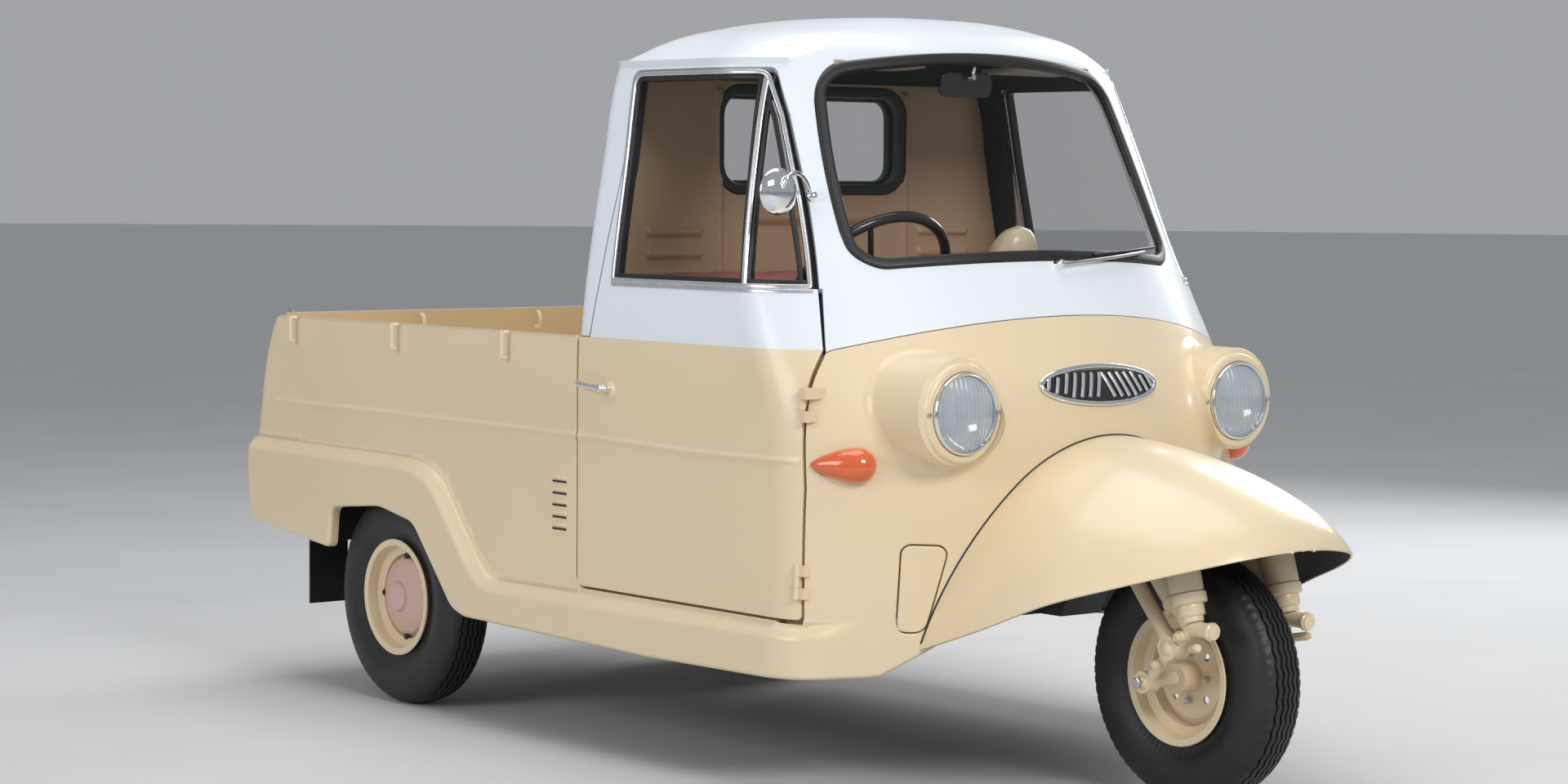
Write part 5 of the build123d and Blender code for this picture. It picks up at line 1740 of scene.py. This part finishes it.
def make_louvres(name, side):
    """Five pressed slots low behind the door: a rolled hood over a black strip that paints the shade in the
    slot's gap.
    """
    hoods = Build()
    slot_shades = Build()
    for slot in range(louvre_count):
        z = louvre_z + louvre_pitch * slot
        rows = []
        for i in range(17):
            share = -1 + i / 8
            y = louvre_y + 27.0 * share
            swell = math.sqrt(max(0.0, 1 - share * share))
            section = []
            for k in range(7):
                angle = math.pi * k / 6
                section.append((609.2 + 5.5 * swell * math.sin(angle), z + 5.2 - 5.0 * math.cos(angle)))
            section += [(607.0, z + 10.2), (607.0, z + 0.2)]
            rows.append([hoods.add((side * x, y, height), (side, 0, 0)) for x, height in section])
        hoods.bar(rows, flip=side > 0)
        # A black strip under each hood paints the shade in the slot.
        points = [Vector((side * 610.0, louvre_y + shift, z - 3.0)) for shift in (-25.0, 25.0)]
        sweep(slot_shades, path_frames(points, [Vector((side, 0, 0))] * 2), rounded_profile(5.0, 1.6, 0.7, -0.8))
    sharp_piece(f"louvre_hoods_{name}", hoods, 40, cream, "body")
    sharp_piece(f"louvre_slot_shades_{name}", slot_shades, 40, black_plastic, "body")


def hinge_point(side, z):
    """A point of the door's leaning hinge axis."""
    share = (z - hinge_heights[0]) / (hinge_heights[1] - hinge_heights[0])
    return Vector((side * (601.0 - 11.0 * share), -652.0, z))


def make_hinges(name, side):
    """The door's own knuckles with their straps."""
    knuckles = Build()
    straps = Build()
    place = lifted(on_cab(side, wraps=False), 2.5, side < 0)
    for middle in hinge_heights:
        low, high = hinge_point(side, middle - 11.0), hinge_point(side, middle + 11.0)
        length = (high - low).length
        section = [(0, 0), (0, 5.2), (0.8, 6), (length - 0.8, 6), (length, 5.2), (length, 0)]
        lathe(knuckles, section, low, high - low, 28)
        corners = [(-650, middle - 9.5), (-630, middle - 9.5), (-630, middle + 9.5), (-650, middle + 9.5)]
        flat = side_flat(soft_corners(corners, {1: 3.0, 2: 3.0}, 6.0))
        panel(straps, place, flat, roll=0.8, back_roll=0.3, thickness=4.0, pitch=9.0, flip=side < 0)
    sharp_piece(f"door_knuckles_{name}", knuckles, 30, cream, f"door_{name}")
    shell_piece(f"door_straps_{name}", straps, cream, f"door_{name}")


# The handle's lever; columns: y, out, z, half height, half depth
lever_rows = [(-64, 631, 764, 3, 3), (-60, 632, 764, 6, 5), (-50, 633, 764.5, 8, 6.5), (-36, 634, 765, 6.6, 5.4),
              (-15, 635, 766, 5.6, 4.6), (10, 635, 768, 6, 4.4), (28, 634, 769.5, 6.6, 4.4),
              (36, 633.5, 770, 5.6, 3.6), (40, 633, 770, 2.4, 1.8)]


def make_handle(name, side):
    """A lever on a round neck over a cream rose, its grip pointing back."""
    door = f"door_{name}"
    out = (side, 0, 0)
    turned_piece(f"handle_rose_{name}", [(0, 0), (0, 19), (3, 18.5), (6.5, 14.5), (8, 9.5), (8.5, 0)],
                 (side * 610.2, -50.0, 759.0), out, 40, cream, door)
    neck = [(0, 0), (0, 9.5), (5, 8.5), (10, 7.2), (15, 8), (21, 8.8), (25, 7), (27, 3.5), (27.5, 0)]
    turned_piece(f"handle_neck_{name}", neck, (side * 616.0, -50.0, 763.0), out, 32, chrome, door,
                 f"door_handle_{name}")
    build = Build()
    rows = [[build.add((side * (reach + x), y, z + up), out) for x, up in circle(20, deep, tall)]
            for y, reach, z, tall, deep in lever_rows]
    build.bar(rows, flip=side > 0)
    sharp_piece(f"handle_lever_{name}", build, 60, chrome, door)


for name, side in sides:
    make_louvres(name, side)
    make_hinges(name, side)
    make_handle(name, side)


# ---------------------------------------------------------------- mirror and wiper
def tube(name, points, radius, material, body):
    """A round bar along a smooth curve through points."""
    knots = [float(i) for i in range(len(points))]
    lines = list(zip(*points))
    steps = 10
    centres = []
    for k in range((len(points) - 1) * steps + 1):
        centres.append(Vector([catmull(knots, column, k / steps) for column in lines]))
    up = axes_of(centres[-1] - centres[0])[1]
    build = Build()
    sweep(build, path_frames(centres, [up] * len(centres)), circle(14, radius, radius))
    sharp_piece(name, build, 60, material, body)


def make_mirror():
    """The outside mirror on the driver's side of the windscreen."""
    dome = [(-3, 0), (-3, 43), (-1, 45.5), (1.5, 46), (4, 44.5), (10, 38), (15, 28), (18.5, 15), (19.6, 0)]
    turned_piece("mirror_head", dome, (-575, -553, 1171), (0, -1, 0), 56, chrome, "body", "mirror", 50)
    tube("mirror_arm", [(-577, -571, 1178), (-572, -577, 1196), (-556, -574, 1206), (-530, -562, 1206),
                        (-498, -545, 1190), (-476, -530, 1170)], 4.4, chrome, "body")
    turned_piece("mirror_base", [(-3, 0), (-3, 11), (3, 10), (6, 6.5), (7, 0)], (-473, -533, 1163),
                 (-0.55, -0.8, 0.25), 28, chrome, "body")


def make_wiper():
    pivot = [(-4, 0), (-4, 11), (3, 10.5), (8, 8), (16, 7), (19, 5), (20, 0)]
    turned_piece("wiper_pivot", pivot, nose_place(0, 1027), (0, -0.93, 0.37), 28, chrome, "body", "wiper")
    arm = []
    for share in (0.0, 0.25, 0.5, 0.75, 1.0):
        arm.append(nose_place(296 * share, 1030 + 20 * share) + Vector((0, -17 + 4 * share, 0)))
    tube("wiper_arm", arm, 3.4, dull_steel, "body")
    blade = []
    for share in (0.0, 0.33, 0.66, 1.0):
        blade.append(nose_place(110 + 250 * share, 1047 + 12 * share) + Vector((0, -9, 0)))
    tube("wiper_blade", blade, 3.2, rubber, "body")


make_mirror()
make_wiper()


# ---------------------------------------------------------------- cab interior
def bump_edge(x, low, high, soft):
    """Rises from 0 to 1 inside low..high over a soft edge."""
    return ramp(x, low, low + soft) * (1 - ramp(x, high - soft, high))


# Pressings of the rear wall; columns: lift, then low, high and soft edge of |x| and of z
wall_pressings = [(7.0, (300, 455, 9), (887 + 46 * number, 913 + 46 * number, 9)) for number in range(5)] + [
    (10.0, (246, 276, 11), (820, 1395, 12)),
    (-11.0, (-1, 192, 14), (925, 1108, 14)),
    (9.0, (-40, 22, 10), (925, 1108, 14)),
]
# The lining's edge; columns: z, half width
lining_rows = [(700, 568), (866, 566), (1035, 546), (1240, 508), (1370, 484), (1405, 470)]
lining_y = 44.0


def lining_place(x, z):
    lift = sum(height * bump_edge(abs(x), *across) * bump_edge(z, *up) for height, across, up in wall_pressings)
    return Vector((x, lining_y - lift, z))


def mirrored(half):
    """A closed outline from its half at x >= 0, whose ends lie on the middle line or are both kept."""
    return half + [(-x, z) for x, z in reversed(half) if x]


def make_rear_wall():
    zs, halves = zip(*lining_rows)
    half = [(catmull(zs, halves, z), z) for z in range(700, 1406, 15)]
    hole = mirrored(rear_window_outline(-3.0))
    panel_piece("cab_rear_lining", lining_place, even_steps(mirrored(half), 14.0), tan, "body",
                holes=[(hole, 2.0)], roll=2.0, back_roll=1.0, thickness=5.0, pitch=9.0, back_look=0)
    panel_piece("rear_window_inner_seal", lambda x, z: Vector((x, 40.0, z)), mirrored(rear_window_outline(-7.0)),
                rubber, "body", holes=[(mirrored(rear_window_outline(17.0)), 5.0)], roll=5.0, back_roll=1.0,
                thickness=24.0, pitch=12.0, back_look=0)


make_rear_wall()

pad_squareness = 0.36
channel_depth = 5.0
channel_width = 9.0


def signed_power(value):
    return math.copysign(abs(value) ** pad_squareness, value)


def vinyl_pad(name, low, high, channels, node, crown=16.0, lean=0.0):
    """A crowned cushion between two corners, with sewn channels across it and its ends drawn in."""
    count_across, count_round = 60, 64
    size = [h - l for l, h in zip(low, high)]
    build = Build()
    rows = []
    for i in range(count_across + 1):
        u = i / count_across
        end = min(1.0, min(u, 1 - u) / 0.035)
        puff = math.sqrt(max(0.0, 1 - (1 - end) ** 2))
        channel = max(math.exp(-((u - where) * size[0] / channel_width) ** 2) for where in channels)
        row = []
        for c, s in circle(count_round):
            a, b = signed_power(c), signed_power(s)
            x = low[0] + size[0] * u
            y = low[1] + size[1] * (0.5 + 0.5 * a * (0.93 + 0.07 * puff))
            z = low[2] + size[2] * (0.5 + 0.5 * b * (0.80 + 0.20 * puff))
            if b > 0:
                crown_here = (1 - a * a) * (1 - (2 * u - 1) ** 6)
                z -= b * (crown * (1 - crown_here) * 0.5 + channel * channel_depth)
            y += lean * (z - low[2]) / size[2]
            row.append(build.add((x, y, z), (0, 0, 1)))
        rows.append(row)
    build.bar(rows)
    pad = finish_mesh(name, build.points, build.faces)
    divide = pad.modifiers.new("divide", "SUBSURF")
    divide.levels = 1
    divide.render_levels = 1
    set_piece(pad, seat_vinyl, "body", node)


inner_channels = (0.17, 0.335, 0.5, 0.665, 0.83)
vinyl_pad("seat_cushion_pad", (-494, -374, 601), (494, 50, 714), (0.0, *inner_channels, 1.0), "seat_cushion")
vinyl_pad("seat_back_pad", (-494, -38, 717), (494, 22, 999), inner_channels, "seat_back", crown=10.0, lean=10.0)


def visor_place(a, b):
    return Vector((a, -430 + abs(a) * 0.10 + b, 1432 + abs(b) * 0.02 - b * 0.04))


# The inner mirror on its stalk at the middle of the header, and a sun visor each side
turned_piece("inner_mirror_ball", [(-8, 0), (-8, 6), (0, 9), (8, 6), (8, 0)], (0, -470, 1408), (0, -1, 0), 24,
             chrome, "body")
tube("inner_mirror_stalk", [(0, -476, 1440), (0, -478, 1425), (0, -470, 1408)], 4.0, chrome, "body")
panel_piece("inner_mirror_head", lambda a, b: Vector((a, -456 - b * 0.12, 1392 + b)),
            soft_corners([(-70, -26), (70, -26), (70, 26), (-70, 26)], 18.0), black_plastic, "body",
            roll=3.0, back_roll=3.0, thickness=10.0, pitch=16.0)
for name, side in sides:
    outline = soft_corners([(side * 120, -60), (side * 360, -60), (side * 350, 60), (side * 120, 60)], 20.0, 10.0)
    panel_piece(f"sun_visor_{name}", visor_place, outline, visor_cloth, "body", roll=4.0, back_roll=4.0,
                thickness=12.0, pitch=20.0)


# ---------------------------------------------------------------- front suspension details
fork_half = 130.0
strut_top = (-1198.0, 552.0)
strut_foot = (-1255.0, 360.0)
strut_profile = [
    (18, 0), (18, 28), (22, 32), (30, 33.5), (128, 33.5), (131, 33), (133, 31.5), (134, 31.5), (134.5, 34),
    (136, 36), (153, 36), (155.5, 34.5), (157, 30), (157.5, 27), (161, 27.5), (176, 27.5), (178, 26.5),
    (180, 23.5), (181, 22.5), (189, 22.5), (190.5, 21), (191, 0)]
# columns: name, outward place, y, z, direction with its first part outward, radius, length, segments
fork_bolts = (
    ("pinch", 8, -1262, 322, (0.55, -1, 0.18), 8.5, 34.0, 24),
    ("clevis", -2, -1236, 342, (1, 0.1, 0), 11.0, 30.0, 24),
    ("link", 6, -1176, 283, (1, 0, 0), 9.0, 22.0, 6),
)
# columns: name, outward place, y, z, direction with its first part outward, radius
fork_caps = (
    ("front", 0, -1302, 357, (0, -1, -0.05), 18.0),
    ("outer", 20, -1205, 318, (1, 0, 0), 15.0),
    ("axle", 14, -1134, 244, (1, 0, 0), 14.0),
)


def make_fork_details(name, side):
    """Barrels, bolts, caps and the axle nut on one strut and its links."""

    def turned(piece, profile, shift, y, z, facing, segments, look=cream, sharp_deg=32):
        origin = (side * (fork_half + shift), y, z)
        turned_piece(f"{piece}_{name}", profile, origin, (side * facing[0], facing[1], facing[2]), segments,
                     look, "fork", (), sharp_deg)

    down = (0, strut_foot[0] - strut_top[0], strut_foot[1] - strut_top[1])
    turned("strut_barrel", strut_profile, 0, *strut_top, down, 56, sharp_deg=40)
    for part, shift, y, z, facing, radius, length, segments in fork_bolts:
        neck = radius * 0.72
        profile = [(-6, 0), (-6, radius), (length - 7, radius), (length - 7, neck), (length - 1, neck),
                   (length, radius * 0.6), (length, 0)]
        turned(f"fork_{part}_bolt", profile, shift, y, z, facing, segments, sharp_deg=25)
    for part, shift, y, z, facing, radius in fork_caps:
        profile = [(-4, 0), (-4, radius), (2, radius), (5, radius - 3), (7, radius * 0.55), (7.5, 0)]
        turned(f"fork_{part}_cap", profile, shift, y, z, facing, 32)
    turned("axle_nut", [(0, 0), (0, 11), (9, 11), (10, 9), (10, 0)], 21, -1134, 244, (1, 0, 0), 6, dull_steel, 20)


for name, side in sides:
    make_fork_details(name, side)


# ---------------------------------------------------------------- hubs
rear_hub_profile = [
    (-4, 0), (-4, 86), (1, 86.5), (3, 85), (7, 79), (13, 64), (18, 48), (20.5, 38), (21, 35), (22.5, 34),
    (26.5, 33), (28.5, 31), (29.3, 27), (29, 12), (29, 0)]


def bolt_ring(name, x, y, ring_radius, profile, side, look, body):
    """Four hexagonal bolt heads round an axle."""
    for number in range(4):
        turn = math.radians(90 * number)
        place = (x, y + ring_radius * math.cos(turn), tyre_radius + ring_radius * math.sin(turn))
        turned_piece(f"{name}_{number}", profile, place, (side, 0, 0), 6, look, body, (), 20)


for name, side in sides:
    wheel = f"rear_wheel_{name}"
    face = side * (track_half + 22.0)
    turned_piece(f"rear_hub_dome_{name}", rear_hub_profile, (face, rear_axle_y, tyre_radius), (side, 0, 0), 72,
                 hub_pink, wheel, (), 50)
    bolt_ring(f"rear_hub_bolt_{name}", face - side * 4, rear_axle_y, 92,
              [(0, 0), (0, 7.5), (7, 7.5), (9, 5.5), (9, 0)], side, chassis_black, wheel)
    bolt_ring(f"front_hub_bolt_{name}", side * 8.0 - 8.0, front_axle_y, 46,
              [(0, 0), (0, 7), (9, 7), (10.5, 5.5), (10.5, 0)], side, dull_steel, "front_wheel")


# ---------------------------------------------------------------- bed and tailgate details
def box_ribs(name, ribs, width, height, radius, up, body):
    """Rounded cream bars from start to end, standing out along up."""
    build = Build()
    for start, end in ribs:
        axis = up or (-math.copysign(1, start[0]), 0, 0)
        frames = path_frames([Vector(start), Vector(end)], [Vector(axis)] * 2)
        sweep(build, frames, rounded_profile(width, height, radius))
    sharp_piece(name, build, 40, cream, body)


box_ribs("bed_floor_ribs", [((x, 100.0, 564.5), (x, 1268.0, 564.5)) for x in range(-490, 491, 98)],
         34.0, 5.0, 2.4, (0, 0, 1), "body")
box_ribs("tailgate_ribs", [((-520.0, y, z), (520.0, y, z)) for z, y in ((640, 1391.5), (700, 1379), (815, 1341))],
         26.0, 6.0, 2.8, (0, 0.96, 0.26), "tailgate")
# The wall ribs stand out towards the bed's middle.
wall_ribs = [((x, y, 568.0), (x, y, 850.0)) for x in (-580.5, 580.5) for y in (360.0, 660.0, 960.0)]
box_ribs("bed_wall_ribs", wall_ribs, 40.0, 5.0, 2.4, None, "body")

for name, side in sides:
    x = side * 560.0
    tube(f"gate_latch_{name}", [(x, 1300, 872), (x, 1322, 878), (x, 1338, 862), (x, 1334, 836)], 5.0, dull_steel,
         "body")
for number, x in enumerate((-215.0, 127.0)):
    tube(f"gate_hook_{number}", [(x, 1283, 862), (x, 1272, 858), (x, 1266, 838), (x, 1274, 822), (x, 1286, 826)],
         4.5, cream, "tailgate")

for name, side in sides:
    place = (side * 470.0, 1400.0, 470.0)
    turned_piece(f"tail_lamp_lens_{name}", [(0.5, 0), (0.5, 33), (4, 33.5), (8, 31), (10.4, 24), (11, 0)], place,
                 (0, 1, 0), 48, red_plastic, "body", "tail_lamps", 40)
    section = [(2.5 + along, 36.0 + out) for along, out in circle(14, 3.2, 3.2)]
    ring_of(f"tail_lamp_ring_{name}", section, place, (0, 1, 0), 56, "body")

# A blank number plate on the tail
panel_piece("rear_plate_blank", lambda x, z: Vector((-x, 1402.6, z)),
            soft_corners([(-110, 430), (110, 430), (110, 540), (-110, 540)], 10.0, 12.0), white, "body",
            roll=0.8, back_roll=0.4, thickness=2.0, pitch=24.0)


# ---------------------------------------------------------------- door jambs
# Body strips behind each door's gap, so that the gap shows a jamb and not the inside; columns: name, width,
# material, line of (y, z)
jamb_depth = 30.5
jamb_strips = [
    ("front", 26.0, dull_shaded_cream, [(y - 2.5, z) for y, z in door_front]),
    ("low", 26.0, dull_shaded_cream, [(-652, 342.5), (60, 342.5)]),
    ("rear", 26.0, dull_shaded_cream, [(68.5, 350), (68.5, 860)]),
    ("belt", 22.0, rubber, [(-643, 868), (-596, 981), (-520, 1161), (-448, 1325), (-402, 1414)]),
    ("top", 22.0, rubber, [(-395, 1417), (-14, 1417)]),
    ("window", 22.0, rubber, [(-9, 1410), (-17, 1226), (9, 985), (27, 870)]),
]
for name, side in sides:
    for part, width, look, line in jamb_strips:
        straight_bar(f"jamb_{part}_{name}", side, line, (width, -jamb_depth, 3.0, 1.0), look, "body")


def make_dash_cowl():
    """A cream cowl over the gauges, on the dashboard."""
    foot_x, foot_y, foot_z = 128.0, -446.0, 990.0
    build = Build()
    rows = []
    for i in range(13):
        share = i / 12
        radius = 56.0 * math.sqrt(1 - (max(0.0, share - 0.25) / 0.75) ** 2) + 4.0
        rows.append([build.add((foot_x + x, foot_y - 34 * share + y, foot_z + 112 * share), (0, 0, 1))
                     for x, y in circle(36, radius, radius * 0.8)])
    build.bar(rows)
    sharp_piece("dash_gauge_cowl", build, 70, cream, "body")


make_dash_cowl()


# ---------------------------------------------------------------- finishes of the kept CAD nodes
node_looks = {
    cream: ["rope_hooks", "fork", "fork_struts", "front_rim", "rear_rim_left", "rear_rim_right",
            "tailgate", "bed_floor", "door_hinges"],
    chassis_black: ["frame", "propeller_shaft", "rear_axle", "leaf_springs", "cab_floor"],
    dull_shaded_cream: ["bulkhead", "dashboard", "headlamps"],
    cast_iron: ["engine_block"],
    exhaust_coat: ["exhaust"],
    rubber: ["mud_flaps", "window_seals"],
    window_glass_look: ["window_glass", "door_glass_left", "door_glass_right"],
    chrome: ["grille", "wiper", "mirror", "door_handle_left", "door_handle_right", "window_frame_left",
             "window_frame_right"],
    lens_glass_look: ["headlamp_lenses"],
    amber: ["turn_signals"],
    red_plastic: ["tail_lamps"],
    black_plastic: ["steering_wheel", "steering_column", "controls"],
    seat_vinyl: ["seat_cushion", "seat_back"],
}
for look, names in node_looks.items():
    for node_name in names:
        node = nodes[node_name]
        if not node.hide_render:
            for slot in node.material_slots:
                slot.material = look


# ---------------------------------------------------------------- floor, light and camera
floor_radii = (2000.0, 5000.0, 10000.0, 20000.0, 40000.0, 80000.0)
floor_color = (0.64, 0.65, 0.66)


def make_floor():
    build = Build()
    rows = [[build.add((x, y, 0.0), (0, 0, 1)) for x, y in circle(96, radius, radius)] for radius in floor_radii]
    build.grid(rows, closed=True, flip=True)
    build.face(rows[0])
    floor = finish_mesh("studio_floor", build.points, build.faces, sharp_deg=60)
    material, tree, shader = new_material("pale_floor", floor_color, 0.85)
    vary_color(tree, shader, floor_color, 0.02, 1.5)
    floor.data.materials.append(material)


# The photograph's view, in metres, radians and millimetres of lens
camera_place = (-4.7118, -5.7193, 1.1909)
camera_heading = 0.6774
camera_pitch = 0.0618
camera_roll = 0.0074
camera_lens = 78.168


def add_object(name, data):
    obj = bpy.data.objects.new(name, data)
    bpy.context.scene.collection.objects.link(obj)
    return obj


def make_camera():
    camera = bpy.data.cameras.new("camera")
    camera.sensor_width = 36.0
    camera.sensor_fit = "HORIZONTAL"
    camera.lens = camera_lens
    camera.clip_end = 100.0
    obj = add_object("camera", camera)
    sin, cos = math.sin(camera_heading), math.cos(camera_heading)
    level = math.cos(camera_pitch)
    forward = Vector((sin * level, cos * level, -math.sin(camera_pitch)))
    right = Vector((cos, -sin, 0))
    up = right.cross(forward)
    tilt_right = right * math.cos(camera_roll) + up * math.sin(camera_roll)
    tilt_up = up * math.cos(camera_roll) - right * math.sin(camera_roll)
    matrix = Matrix((tilt_right, tilt_up, -forward)).transposed().to_4x4()
    matrix.translation = Vector(camera_place)
    obj.matrix_world = matrix
    bpy.context.scene.camera = obj


# Soft lamps; columns: name, place, target, size, watts
lamps = (
    ("key", (-1.2, -6.0, 3.9), (0, -0.6, 0.7), (2.4, 1.6), 180),
    ("fill_left", (-6.0, -0.5, 2.6), (0, 0.2, 0.7), (3.0, 2.4), 90),
    ("top", (0, 0.4, 5.2), (0, 0.2, 0), (4.0, 4.0), 105),
    ("rim_right", (5.0, 1.5, 3.2), (0, 0, 0.8), (2.0, 2.5), 120),
)


def make_light():
    for name, place, target, size, watts in lamps:
        light = bpy.data.lights.new(name, "AREA")
        light.shape = "RECTANGLE"
        light.size, light.size_y = size
        light.energy = watts
        obj = add_object(name, light)
        obj.location = place
        obj.rotation_euler = (Vector(target) - Vector(place)).to_track_quat("-Z", "Y").to_euler()
    world = bpy.data.worlds.new("studio")
    bpy.context.scene.world = world
    world.use_nodes = True
    background = world.node_tree.nodes["Background"]
    background.inputs["Color"].default_value = (0.80, 0.82, 0.85, 1.0)
    background.inputs["Strength"].default_value = 0.45


make_floor()
make_camera()
make_light()
bpy.context.scene.view_settings.view_transform = "Standard"
